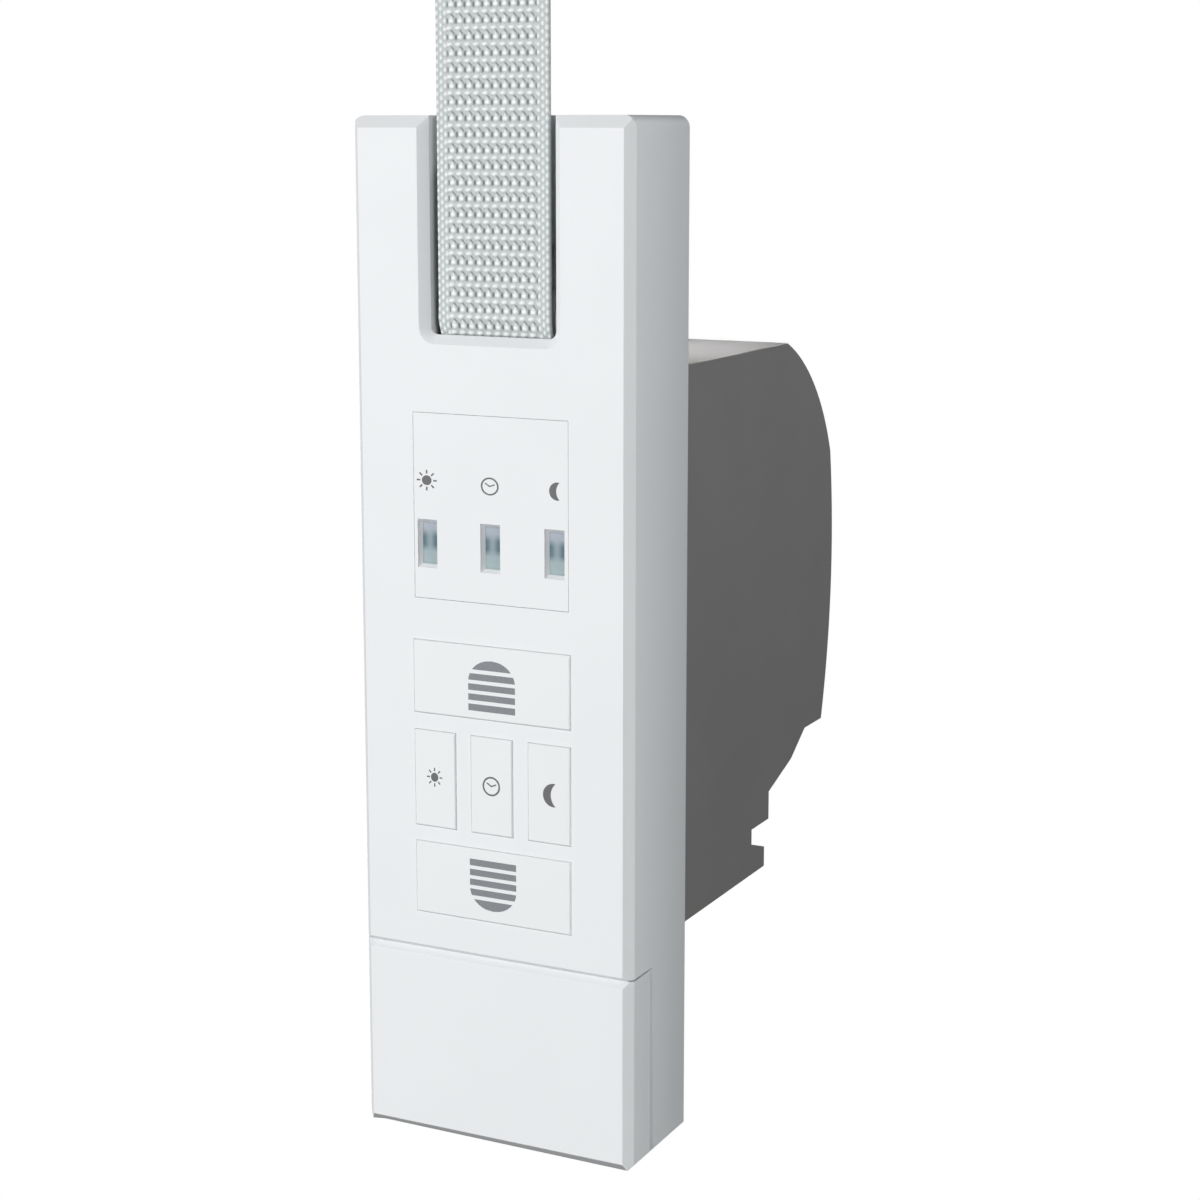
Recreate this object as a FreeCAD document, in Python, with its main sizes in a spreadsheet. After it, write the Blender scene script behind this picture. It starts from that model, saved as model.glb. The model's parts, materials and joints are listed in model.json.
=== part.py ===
import FreeCAD, Part
import math
import os
import re
import Sketcher
from FreeCAD import Placement, Rotation, Vector

# Electric belt winder, in millimetres: X to the right, Y into the wall, Z up.
# The origin lies on the wall plane, at half the height of the front.

DRIVING_SIZES = {
    # white front
    "face_height": 190.0,
    "cover_width": 57.0,
    "cover_depth": 24.0,
    "cover_wall": 2.2,
    "top_bevel": 2.2,
    "low_bevel": 1.8,
    "side_bevel": 1.6,
    "bevel_depth": 1.8,
    "corner_round": 2.2,
    "corner_cut": 2.0,
    "cap_depth": 8.7,
    "cap_bevel": 1.2,
    "joint_bevel": 0.9,
    "joint_gap": 0.3,
    "joint_room": 3.4,
    "side_groove": 0.8,
    "rib_thick": 1.6,
    "fit_gap": 0.2,
    # belt channel
    "channel_room": 2.7,
    "channel_length": 39.3,
    "channel_depth": 11.0,
    "channel_wall": 1.6,
    "channel_bevel": 1.65,
    "channel_round": 1.5,
    "slot_height": 16.3,
    # indicator panel
    "panel_width": 31.9,
    "panel_height": 34.5,
    "panel_level": 26.4,
    "panel_thick": 1.2,
    "window_width": 4.0,
    "window_height": 8.9,
    "window_pitch": 13.2,
    "window_level": 19.4,
    "lens_recess": 1.0,
    "lens_flange": 0.6,
    "lens_thick": 2.1,
    # buttons
    "wide_width": 32.6,
    "wide_height": 13.75,
    "up_level": -5.8,
    "down_level": -44.6,
    "small_width": 8.6,
    "small_height": 18.4,
    "small_pitch": 12.0,
    "small_level": -25.3,
    "key_gap": 0.15,
    "key_proud": 0.3,
    "key_bevel": 0.25,
    "key_flange": 0.8,
    "key_skirt": 1.0,
    "key_travel": 0.5,
    "foot_radius": 1.7,
    "foot_reach": 1.4,
    # switches and control board
    "board_thick": 1.6,
    "board_width": 46.0,
    "board_drop": 18.3,
    "board_bottom": -55.5,
    "switch_width": 6.0,
    "switch_height": 3.5,
    "plunger_radius": 1.5,
    "plunger_reach": 0.8,
    "plunger_depth": 1.2,
    "plunger_stop": 0.4,
    "led_width": 3.2,
    "led_height": 1.5,
    "led_radius": 1.4,
    "chip_width": 10.0,
    "chip_thick": 1.6,
    "chip_drop": 6.0,
    "sensor_width": 4.0,
    "sensor_height": 3.5,
    "sensor_thick": 1.5,
    "post_radius": 2.5,
    "post_x": 21.0,
    "post_drop": 5.0,
    "post_rise": 4.5,
    "board_screw_radius": 1.0,
    "board_screw_length": 7.0,
    "screw_head": 1.2,
    # mounting frame
    "plate_thick": 2.5,
    "fixing_inset": 11.0,
    "fixing_radius": 2.25,
    "rib_reach": 4.0,
    "rib_margin": 3.0,
    "entry_width": 14.0,
    "entry_height": 8.0,
    "entry_x": -12.0,
    "entry_level": -74.5,
    "cheek_thick": 2.0,
    "cheek_height": 14.0,
    "cheek_past": 2.0,
    # in-wall housing
    "housing_wall": 1.5,
    "gear_clearance": 0.4,
    "flange_room": 1.7,
    "worm_room": 1.7,
    "boss_radius": 2.6,
    "boss_bore": 1.1,
    "screw_bite": 12.0,
    "axle_seat": 0.8,
    "boss_front": 8.0,
    "boss_rear": 26.0,
    "boss_inset": 7.2,
    "boss_low": 2.2,
    "boss_rise": 3.9,
    # guide roller
    "roller_radius": 5.5,
    "roller_room": 1.6,
    "roller_waist": 0.25,
    "roller_rim": 0.6,
    "roller_rise": 3.4,
    "belt_sink": 1.7,
    "small_axle_radius": 1.5,
    "run_clearance": 0.05,
    "side_clearance": 0.3,
    "seat_fit": 0.02,
    "end_play": 0.1,
    "cut_past": 1.0,
    # belt
    "belt_width": 23.0,
    "belt_thick": 1.3,
    "belt_free": 27.8,
    "belt_clearance": 0.3,
    "coil_turns": 7,
    "turn_gap": 0.1,
    # reel
    "reel_z": 3.0,
    "drum_radius": 16.0,
    "drum_wall": 3.0,
    "hub_radius": 5.0,
    "flange_radius": 43.5,
    "flange_thick": 1.2,
    "reel_room": 0.8,
    "reel_axle_radius": 2.5,
    "flange_hole": 5.0,
    "flange_hole_ring": 33.0,
    # gear train
    "spur_module": 1.0,
    "reel_teeth": 76,
    "idler_teeth": 28,
    "pinion_teeth": 12,
    "spur_width": 3.0,
    "idler_bearing": 235.0,
    "wheel_bearing": 218.3,
    "worm_module": 0.8,
    "wheel_teeth": 20,
    "wheel_width": 5.0,
    "worm_radius": 3.5,
    "worm_length": 16.0,
    "sleeve_radius": 2.6,
    # motor
    "motor_radius": 12.0,
    "motor_length": 45.0,
    "motor_gap": 0.38,
    "motor_rise": 2.6,
    "shaft_radius": 1.5,
    "shaft_past": 1.0,
    "cap_thick": 2.5,
    "motor_cap_radius": 9.0,
    "bracket_thick": 1.5,
    "bracket_front": 11.0,
    "bracket_back": 11.8,
    "motor_screw_x": 8.5,
    "motor_screw": 1.0,
    "screw_play": 0.1,
    "magnet_radius": 6.0,
    "magnet_thick": 3.0,
    "lead_radius": 0.6,
    "lead_spread": 7.0,
    "lead_bend": 5.0,
    "lead_rise": 11.0,
    # power electronics
    "power_gap": 1.8,
    "power_width": 30.0,
    "transformer_depth": 17.0,
    "transformer_width": 22.0,
    "transformer_height": 15.0,
    "relay_start": -7.5,
    "relay_gap": 0.5,
    "relay_width": 6.0,
    "relay_depth": 6.5,
    "relay_height": 8.0,
    "capacitor_x": 10.0,
    "capacitor_radius": 3.2,
    "capacitor_height": 11.0,
    "terminal_width": 22.0,
    "terminal_height": 7.0,
    "terminal_depth": 10.0,
    "terminal_screw": 1.8,
    "terminal_well": 3.0,
    "terminal_margin": 2.0,
    "fuse_margin": 5.3,
    "fuse_width": 7.0,
    "fuse_height": 13.0,
    "fuse_depth": 6.5,
    "supply_radius": 0.9,
    "supply_drop": 4.6,
    "supply_inset": 2.5,
    "supply_bend": 7.0,
    "supply_x": 13.0,
    "supply_pitch": 2.4,
}

TOP = "(face_height / 2 + top_bevel)"
BOTTOM = "(-face_height / 2 - low_bevel)"
HALF = "(cover_width / 2)"
FRONT = "(-cover_depth)"
FRONT_BACK = "(cover_wall - cover_depth)"
BEVEL_END = "(bevel_depth - cover_depth)"
JOINT = "(board_bottom - joint_room)"
COVER_END = "(" + JOINT + " + joint_gap / 2)"
CAP_END = "(" + JOINT + " - joint_gap / 2)"
INNER = "(cover_width / 2 - cover_wall)"
INNER_TOP = "(" + TOP + " - cover_wall)"
SILL = "(" + BOTTOM + " + cover_wall)"
CHANNEL = "((belt_width + channel_room) / 2)"
CHANNEL_OUT = "((belt_width + channel_room) / 2 + channel_wall)"
CHANNEL_END = "(" + TOP + " - channel_length)"
CAP_BACK = "(cap_depth - cover_depth)"
FRAME_FRONT = "(" + CAP_BACK + " + side_groove)"
KEY_FRONT = "(-cover_depth - key_proud)"
FLANGE_FRONT = "(" + FRONT_BACK + " + fit_gap / 2)"
FLANGE_BACK = "(" + FLANGE_FRONT + " + key_skirt)"
PLUNGER_FRONT = "(" + FLANGE_BACK + " + foot_reach)"
SWITCH_FRONT = "(" + PLUNGER_FRONT + " + plunger_reach)"
PLUNGER_BACK = "(" + SWITCH_FRONT + " + plunger_depth)"
BOARD_FRONT = "(" + SWITCH_FRONT + " + switch_height)"
BOARD_BACK = "(" + BOARD_FRONT + " + board_thick)"
ROLLER_Y = "(" + FRONT + " + belt_sink + belt_thick + belt_clearance + roller_radius)"
ROLLER_Z = "(" + CHANNEL_END + " + roller_rise)"
BOARD_TOP = "(" + ROLLER_Z + " - board_drop)"
REEL_HALF = "((belt_width + reel_room) / 2)"
REEL_SIDE = "(" + REEL_HALF + " + flange_thick)"
GEAR_END = "(" + REEL_SIDE + " + spur_width)"
HOUSING_IN = "(" + GEAR_END + " + gear_clearance)"
HOUSING_OUT = "(" + HOUSING_IN + " + housing_wall)"
WORM_Y = "(" + BOARD_BACK + " + motor_gap + motor_radius)"
WHEEL_Y = "(" + WORM_Y + " + worm_radius + worm_module * wheel_teeth / 2)"
IDLER_Y = "(" + WHEEL_Y + " - spur_module * (idler_teeth + pinion_teeth) / 2 * cos(wheel_bearing))"
REEL_Y = "(" + IDLER_Y + " - spur_module * (reel_teeth + idler_teeth) / 2 * cos(idler_bearing))"
IDLER_Z = "(reel_z + spur_module * (reel_teeth + idler_teeth) / 2 * sin(idler_bearing))"
WHEEL_Z = "(" + IDLER_Z + " + spur_module * (idler_teeth + pinion_teeth) / 2 * sin(wheel_bearing))"
HOUSING_TOP = "(reel_z + flange_radius + flange_room + housing_wall)"
FLOOR_IN = "(" + WHEEL_Z + " - worm_length / 2 - worm_room)"
HOUSING_LOW = "(" + FLOOR_IN + " - housing_wall)"
MOTOR_LOW = "(" + WHEEL_Z + " + worm_length / 2 + motor_rise)"
MOTOR_TOP = "(" + MOTOR_LOW + " + motor_length)"
SHAFT_END = "(" + WHEEL_Z + " - worm_length / 2 - shaft_past)"
SHAFT_TOP = "(" + MOTOR_TOP + " + cap_thick + magnet_thick + 2 * side_clearance)"
POWER_TOP = "(" + FLOOR_IN + " + side_clearance + board_thick)"
POWER_FRONT = "(" + IDLER_Y + " + power_gap)"
TERMINAL_TOP = "(" + HOUSING_LOW + " - fit_gap)"
SUPPLY_LEVEL = "(" + MOTOR_LOW + " - supply_drop)"

# The housing's rear seen from the side. Each point is its distance behind the
# reel flange and its height over the reel axle: the upper rear is one arc, and
# the lower rear steps in above the mains side.
REAR_TOP = -24.7
REAR_UPPER = (-6.5, 34.0)
REAR_MIDDLE = (1.7, 20.5)
REAR_LOWER = (3.6, -6.0)
REAR_END = (-1.5, -40.6)
REAR_STEPS = [(-11.5, -40.6), (-19.5, -45.8), (-32.2, -50.1), (-32.2, -56.2),
              (-41.6, -56.2), (-41.6, -59.5), (-34.5, -61.8)]


def rear(point):
    """A rear point as a pair of formulas."""
    return ("(" + REEL_Y + " + flange_radius + %g)" % point[0], "(reel_z + %g)" % point[1])


doc = FreeCAD.newDocument("BeltWinder")
sheet = doc.addObject("Spreadsheet::Sheet", "Sizes")
for row, (alias, amount) in enumerate(DRIVING_SIZES.items(), start=1):
    sheet.set("A%d" % row, alias.replace("_", " "))
    sheet.set("B%d" % row, "%g" % amount)
    sheet.setAlias("B%d" % row, alias)
doc.recompute()

WORD = re.compile(r"[a-z]+(?:_[a-z]+)+")
parts = []


def size(alias):
    """The number that a cell of the sheet holds."""
    return float(sheet.get(alias))


def tied(text):
    """A formula with each size written as its cell."""
    return WORD.sub(lambda word: "Sizes." + word.group(0), str(text))


def bind(thing, **formulas):
    """Tie properties of an object to the sheet."""
    for name, text in formulas.items():
        thing.setExpression(name.replace("__", "."), tied(text))


def number(text):
    """What a formula comes to at the present sizes."""
    return float(sheet.evalExpression(tied(text)))


def keep(thing, name):
    """Make an object a sub-part under its own name."""
    thing.Label = name
    parts.append(thing)
    return thing


# Primitives

def block(name, x, y, z):
    """A box between pairs of formulas."""
    box = doc.addObject("Part::Box", name)
    bind(box, Length="(%s) - (%s)" % (x[1], x[0]), Width="(%s) - (%s)" % (y[1], y[0]),
         Height="(%s) - (%s)" % (z[1], z[0]))
    bind(box, Placement__Base__x=x[0], Placement__Base__y=y[0], Placement__Base__z=z[0])
    return box


TURNS = {
    "x": Rotation(Vector(0, 1, 0), 90),
    "y": Rotation(Vector(1, 0, 0), -90),
    "z": Rotation(),
}


def across(centre, width):
    """The pair of formulas a width apart about a centre."""
    return "(%s - %s / 2)" % (centre, width), "(%s + %s / 2)" % (centre, width)


def rod(name, axis, centre, span, radius):
    """A cylinder along an axis, centred on the other two coordinates."""
    cylinder = doc.addObject("Part::Cylinder", name)
    cylinder.Placement = Placement(Vector(), TURNS[axis])
    bind(cylinder, Radius=radius, Height="(%s) - (%s)" % (span[1], span[0]))
    places = dict(zip([other for other in "xyz" if other != axis], centre))
    places[axis] = span[0]
    bind(cylinder, Placement__Base__x=places["x"], Placement__Base__y=places["y"],
         Placement__Base__z=places["z"])
    return cylinder


def union(name, pieces):
    """Several objects as one."""
    joined = doc.addObject("Part::MultiFuse", name)
    joined.Shapes = pieces
    return joined


def without(name, base, tools):
    """An object less others."""
    remains = doc.addObject("Part::Cut", name)
    remains.Base = base
    remains.Tool = tools[0] if len(tools) == 1 else union(name + "_tools", tools)
    return remains


def tube(name, axis, centre, span, radius, bore):
    """A rod with a bore right through it."""
    outer = rod(name + "_outer", axis, centre, span, radius)
    inner = rod(name + "_bore", axis, centre, span, bore)
    return without(name, outer, [inner])


# Sketches

def pin(sketch, index, end, x, y):
    """Hold a point of a sketch at two formulas."""
    for kind, text in (("DistanceX", x), ("DistanceY", y)):
        row = sketch.addConstraint(Sketcher.Constraint(kind, -1, 1, index, end, number(text)))
        bind(sketch, **{"Constraints[%d]" % row: text})


def spot(corner):
    """A corner's present place in its sketch."""
    return Vector(number(corner[0]), number(corner[1]), 0)


def draw_loop(sketch, corners):
    """A closed loop through corners; a corner with a third item reaches the
    next one by an arc through that middle point."""
    first = sketch.GeometryCount
    count = len(corners)
    ends = []
    middles = []
    for index, corner in enumerate(corners):
        start = spot(corner)
        end = spot(corners[(index + 1) % count])
        if len(corner) == 3:
            middle = spot(corner[2])
            ahead = (middle - start).cross(end - middle).z > 0
            arc = Part.Arc(start, middle, end) if ahead else Part.Arc(end, middle, start)
            sketch.addGeometry(arc)
            ends.append((1, 2) if ahead else (2, 1))
            middles.append((first + index, corner[2]))
        else:
            sketch.addGeometry(Part.LineSegment(start, end))
            ends.append((1, 2))
    for step in range(count):
        after = (step + 1) % count
        sketch.addConstraint(Sketcher.Constraint(
            "Coincident", first + step, ends[step][1], first + after, ends[after][0]))
        pin(sketch, first + step, ends[step][0], corners[step][0], corners[step][1])
    for index, middle in middles:
        point = sketch.addGeometry(Part.Point(spot(middle)), True)
        sketch.addConstraint(Sketcher.Constraint("PointOnObject", point, 1, index))
        pin(sketch, point, 1, middle[0], middle[1])


def draw_circle(sketch, x, y, radius):
    """A circle whose centre and radius are formulas."""
    index = sketch.addGeometry(Part.Circle(spot((x, y)), Vector(0, 0, 1), number(radius)))
    pin(sketch, index, 3, x, y)
    row = sketch.addConstraint(Sketcher.Constraint("Radius", index, number(radius)))
    bind(sketch, **{"Constraints[%d]" % row: radius})


def rectangle(x, z):
    """The corners of a rectangle between pairs of formulas."""
    return [(x[0], z[0]), (x[1], z[0]), (x[1], z[1]), (x[0], z[1])]


def around(x, z, width, height, margin="0"):
    """The corners of a rectangle about a centre, larger all round by a margin."""
    half_width = "(%s / 2 + %s)" % (width, margin)
    half_height = "(%s / 2 + %s)" % (height, margin)
    return rectangle(("(%s - %s)" % (x, half_width), "(%s + %s)" % (x, half_width)),
                     ("(%s - %s)" % (z, half_height), "(%s + %s)" % (z, half_height)))


def sketch_in(body, role, loops=(), circles=(), ahead="0"):
    """A sketch on one of a body's own planes, moved ahead along its normal."""
    sketch = body.newObject("Sketcher::SketchObject", body.Name + "_sketch")
    plane = next(item for item in body.Origin.OriginFeatures if item.Role == role)
    sketch.AttachmentSupport = [(plane, "")]
    sketch.MapMode = "FlatFace"
    bind(sketch, AttachmentOffset__Base__z=ahead)
    for corners in loops:
        draw_loop(sketch, corners)
    for circle in circles:
        draw_circle(sketch, *circle)
    doc.recompute()
    return sketch


def pad(body, length, loops=(), circles=(), ahead="0", role="XZ_Plane"):
    """Material along a plane's normal, which points to the front on XZ_Plane."""
    feature = body.newObject("PartDesign::Pad", body.Name + "_pad")
    feature.Profile = sketch_in(body, role, loops, circles, ahead)
    bind(feature, Length=length)
    doc.recompute()
    return feature


def pocket(body, length, loops=(), circles=(), ahead="0", role="XZ_Plane",
           forward=False, both=False):
    """A recess against a plane's normal, along it, or to both sides."""
    before = body.Shape.Volume
    feature = body.newObject("PartDesign::Pocket", body.Name + "_pocket")
    feature.Profile = sketch_in(body, role, loops, circles, ahead)
    feature.Reversed = forward
    feature.Midplane = both
    bind(feature, Length=length)
    doc.recompute()
    if feature.Shape.Volume >= before:
        raise RuntimeError("a pocket of %s cuts nothing" % body.Name)
    return feature


def edges_where(shape, test):
    """Names of the edges that a test of their box picks."""
    return ["Edge%d" % (row + 1) for row, edge in enumerate(shape.Edges) if test(edge.BoundBox)]


def dress(body, kind, amount, test):
    """A chamfer or fillet on the edges that a test picks."""
    base = body.Tip
    feature = body.newObject("PartDesign::" + kind, body.Name + "_" + kind.lower())
    feature.Base = (base, edges_where(base.Shape, test))
    bind(feature, **{"Size" if kind == "Chamfer" else "Radius": amount})
    doc.recompute()
    return feature


def near(first, second):
    return abs(first - second) < 1e-4


def on_plane(box, low, high, value):
    """Whether both ends of a box lie at one value."""
    return near(getattr(box, low), value) and near(getattr(box, high), value)


# White front

def soften(body, kind, amount, level):
    """A round or a cut on the two corners that lie at one height."""
    side = number(HALF)
    height = number(level)
    dress(body, kind, amount,
          lambda box: box.YLength > 1 and near(abs(box.XMin), side)
          and on_plane(box, "ZMin", "ZMax", height))


def bevel_sides(body):
    """The slope between the front and each side."""
    slopes = []
    for sign in ("", "-"):
        edge = sign + HALF
        inset = sign + "(" + HALF + " - side_bevel)"
        past = sign + "(" + HALF + " + cut_past)"
        slopes.append([(inset, FRONT), (edge, BEVEL_END), (past, BEVEL_END),
                       (past, FRONT + " - cut_past"), (inset, FRONT + " - cut_past")])
    pocket(body, "2 * face_height", slopes, role="XY_Plane", both=True)


def bevel_end(body, level, depth):
    """The slope between the front and the top or bottom; depth says how far
    it comes down or up the front."""
    outside = level + ("+" if level == TOP else "-") + "cut_past"
    inset = level + ("-" if level == TOP else "+") + depth
    slope = [(FRONT, inset), (BEVEL_END, level), (BEVEL_END, outside),
             (FRONT + " - cut_past", outside), (FRONT + " - cut_past", inset)]
    pocket(body, "2 * cover_width", [slope], role="YZ_Plane", both=True)


def front_cover():
    """The shell round the board, and the skirt that runs on behind the lower
    cover."""
    body = doc.addObject("PartDesign::Body", "front_cover")
    pad(body, "cover_depth", [rectangle(("-" + HALF, HALF), (COVER_END, TOP))])
    soften(body, "Fillet", "corner_round", TOP)
    pad(body, "-" + FRAME_FRONT, [[
        ("-" + HALF, BOTTOM), (HALF, BOTTOM), (HALF, COVER_END), (INNER, COVER_END),
        (INNER, SILL), ("-" + INNER, SILL), ("-" + INNER, COVER_END), ("-" + HALF, COVER_END)]])
    soften(body, "Chamfer", "corner_cut", BOTTOM)
    bevel_sides(body)
    bevel_end(body, TOP, "top_bevel")
    face = number(FRONT)
    end = number(COVER_END)
    dress(body, "Chamfer", "joint_bevel",
          lambda box: on_plane(box, "YMin", "YMax", face) and on_plane(box, "ZMin", "ZMax", end))
    below = "(" + COVER_END + " - cut_past)"
    above = "(" + TOP + " + cut_past)"
    pocket(body, "cover_depth - cover_wall", [[
        ("-" + INNER, below), (INNER, below), (INNER, INNER_TOP), (CHANNEL_OUT, INNER_TOP),
        (CHANNEL_OUT, CHANNEL_END), ("-" + CHANNEL_OUT, CHANNEL_END),
        ("-" + CHANNEL_OUT, INNER_TOP), ("-" + INNER, INNER_TOP)]], forward=True)
    pocket(body, "cover_depth - channel_depth - channel_wall",
           [rectangle(("-" + CHANNEL_OUT, CHANNEL_OUT), (CHANNEL_END, INNER_TOP))], forward=True)
    pocket(body, "channel_depth", [rectangle(("-" + CHANNEL, CHANNEL), (CHANNEL_END, above))],
           ahead="cover_depth")
    slot_top = "(" + CHANNEL_END + " + slot_height)"
    pocket(body, "channel_depth + 2 * channel_wall",
           [rectangle(("-" + CHANNEL, CHANNEL), (CHANNEL_END, slot_top))], ahead="cover_depth")
    half_channel = number(CHANNEL)
    channel_end = number(CHANNEL_END)
    dress(body, "Fillet", "channel_round",
          lambda box: near(box.YMin, face) and on_plane(box, "ZMin", "ZMax", channel_end)
          and near(abs(box.XMin), half_channel) and near(abs(box.XMax), half_channel)
          and box.XLength < 1)
    dress(body, "Chamfer", "channel_bevel",
          lambda box: on_plane(box, "YMin", "YMax", face) and box.ZMin > channel_end - 1
          and abs(box.XMin) < half_channel + 0.1 and abs(box.XMax) < half_channel + 0.1)
    notch = "(small_axle_radius + fit_gap)"
    notches = [rectangle(sides, (ROLLER_Z + " - " + notch, ROLLER_Z + " + " + notch)) for sides in (
        ("-" + CHANNEL_OUT + " - fit_gap", "-" + CHANNEL + " + fit_gap"),
        (CHANNEL + " - fit_gap", CHANNEL_OUT + " + fit_gap"))]
    pocket(body, "-" + ROLLER_Y + " + " + notch, notches, forward=True)
    pocket(body, "panel_thick",
           [around("0", "panel_level", "panel_width", "panel_height", "key_gap / 2")],
           ahead="cover_depth")
    pocket(body, "2 * cover_wall", [
        around("%d * window_pitch" % step, "window_level", "window_width", "window_height",
               "(lens_flange + key_gap)") for step in (-1, 0, 1)], ahead="cover_depth - panel_thick")
    holes = [around(x, z, width, height, "key_gap") for _, x, z, width, height in KEYS]
    pocket(body, "2 * cover_wall", holes, ahead="cover_depth")
    keep(body, "front_cover")


KEYS = [
    ("up", "0", "up_level", "wide_width", "wide_height"),
    ("down", "0", "down_level", "wide_width", "wide_height"),
    ("day", "(-small_pitch)", "small_level", "small_width", "small_height"),
    ("clock", "0", "small_level", "small_width", "small_height"),
    ("night", "small_pitch", "small_level", "small_width", "small_height"),
]


def lower_cover():
    """The cap over the wiring: a shallow box with two ribs that slide inside
    the skirt of the front cover."""
    body = doc.addObject("PartDesign::Body", "lower_cover")
    back = "(cover_depth - cap_depth)"
    pad(body, "cap_depth", [rectangle(("-" + HALF, HALF), (BOTTOM, CAP_END))], ahead=back)
    soften(body, "Chamfer", "corner_cut", BOTTOM)
    bevel_sides(body)
    bevel_end(body, BOTTOM, "low_bevel")
    face = number(FRONT)
    high = number(CAP_END)
    dress(body, "Chamfer", "cap_bevel",
          lambda box: on_plane(box, "YMin", "YMax", face) and on_plane(box, "ZMin", "ZMax", high))
    ceiling = "(" + CAP_END + " - cover_wall)"
    pocket(body, "cap_depth - cover_wall", [rectangle(("-" + INNER, INNER), (SILL, ceiling))],
           ahead=back, forward=True)
    rib_out = "(" + INNER + " - fit_gap)"
    rib_in = "(" + rib_out + " - rib_thick)"
    ribs = [rectangle(sides, (SILL + " + corner_cut + rib_margin", ceiling + " - rib_margin"))
            for sides in (("-" + rib_out, "-" + rib_in), (rib_in, rib_out))]
    pad(body, "cap_depth - cover_wall + rib_reach", ribs, ahead="(cover_depth - cap_depth - rib_reach)")
    keep(body, "lower_cover")


def indicator_panel():
    body = doc.addObject("PartDesign::Body", "indicator_panel")
    pad(body, "panel_thick", [around("0", "panel_level", "panel_width", "panel_height")],
        ahead="(cover_depth - panel_thick)")
    pocket(body, "panel_thick + 2 * cut_past", [
        around("%d * window_pitch" % step, "window_level", "window_width", "window_height",
               "run_clearance") for step in (-1, 0, 1)], ahead="cover_depth + cut_past")
    keep(body, "indicator_panel")


def indicator_lenses():
    """Three clear windows, each with a flange behind the panel."""
    lenses = []
    for step in (-1, 0, 1):
        x = "(%d * window_pitch)" % step
        for stem, margin, span in (("lens", "0", ("(lens_recess - cover_depth)",
                                                  "(panel_thick - cover_depth)")),
                                   ("lens_foot", "lens_flange",
                                    ("(panel_thick - cover_depth)", "(lens_thick - cover_depth)"))):
            corners = around(x, "window_level", "window_width", "window_height", margin)
            lenses.append(block("%s_%d" % (stem, step + 2), (corners[0][0], corners[1][0]), span,
                                (corners[0][1], corners[2][1])))
    keep(union("indicator_lenses", lenses), "indicator_lenses")


def button(name, x, z, width, height):
    """A key cap: a plate in its window, a flange behind the front wall and a
    foot on the switch."""
    body = doc.addObject("PartDesign::Body", name + "_button")
    pad(body, "(cover_depth + key_proud + %s)" % FLANGE_FRONT, [around(x, z, width, height)],
        ahead="(-%s)" % FLANGE_FRONT)
    face = number(KEY_FRONT)
    dress(body, "Chamfer", "key_bevel", lambda box: on_plane(box, "YMin", "YMax", face))
    pad(body, "key_skirt", [around(x, z, width, height, "key_flange")],
        ahead="(-%s)" % FLANGE_BACK)
    pad(body, "(%s - %s)" % (PLUNGER_FRONT, FLANGE_BACK), circles=[(x, z, "foot_radius")],
        ahead="(-%s)" % PLUNGER_FRONT)
    keep(body, name + "_button")
    plunger = rod(name + "_plunger", "y", (x, z), (PLUNGER_FRONT, PLUNGER_BACK), "plunger_radius")
    keep(plunger, name + "_plunger")


# Control board

def control_board():
    board = block("board_blank", ("(-board_width / 2)", "(board_width / 2)"),
                  (BOARD_FRONT, BOARD_BACK), ("board_bottom", BOARD_TOP))
    holes = [rod("board_hole", "y", place, (BOARD_FRONT, BOARD_BACK), "(board_screw_radius + screw_play)")
             for place in POSTS]
    keep(without("control_board", board, holes), "control_board")
    bodies = [block("switch_block", across(x, "switch_width"), (SWITCH_FRONT, BOARD_FRONT),
                    across(z, "switch_width")) for _, x, z, _, _ in KEYS]
    wells = [rod("switch_well", "y", (x, z),
                 (SWITCH_FRONT, "(%s + key_travel + plunger_stop)" % PLUNGER_BACK),
                 "(plunger_radius + screw_play)") for _, x, z, _, _ in KEYS]
    keep(without("switch_bodies", union("switch_blocks", bodies), wells), "switch_bodies")
    leds = []
    for step in (-1, 0, 1):
        x = "(%d * window_pitch)" % step
        top = BOARD_FRONT + " - led_height"
        base = block("led_base", across(x, "led_width"), (top, BOARD_FRONT),
                     across("window_level", "led_width"))
        dome = rod("led_dome", "y", (x, "window_level"),
                   ("(lens_thick - cover_depth + side_clearance)", top), "led_radius")
        leds += [base, dome]
    keep(union("indicator_leds", leds), "indicator_leds")
    keep(block("microcontroller", across("0", "chip_width"), (BOARD_FRONT + " - chip_thick", BOARD_FRONT),
               across("(" + BOARD_TOP + " - chip_drop)", "chip_width")), "microcontroller")
    keep(block("hall_sensor", across("0", "sensor_width"), (BOARD_BACK, BOARD_BACK + " + sensor_thick"),
               (MOTOR_TOP + " + cap_thick", MOTOR_TOP + " + cap_thick + sensor_height")), "hall_sensor")
    screws = []
    for place in POSTS:
        screws.append(rod("board_shank", "y", place,
                          (BOARD_FRONT, "(%s + board_screw_length)" % BOARD_FRONT),
                          "board_screw_radius"))
        screws.append(rod("board_head", "y", place, ("(%s - screw_head)" % BOARD_FRONT, BOARD_FRONT),
                          "(2 * board_screw_radius)"))
    keep(union("board_screws", screws), "board_screws")


POSTS = [(x, z) for x in ("(-post_x)", "post_x")
         for z in ("(" + BOARD_TOP + " - post_drop)", "(board_bottom + post_rise)")]


# Frame that is screwed to the wall box

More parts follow.
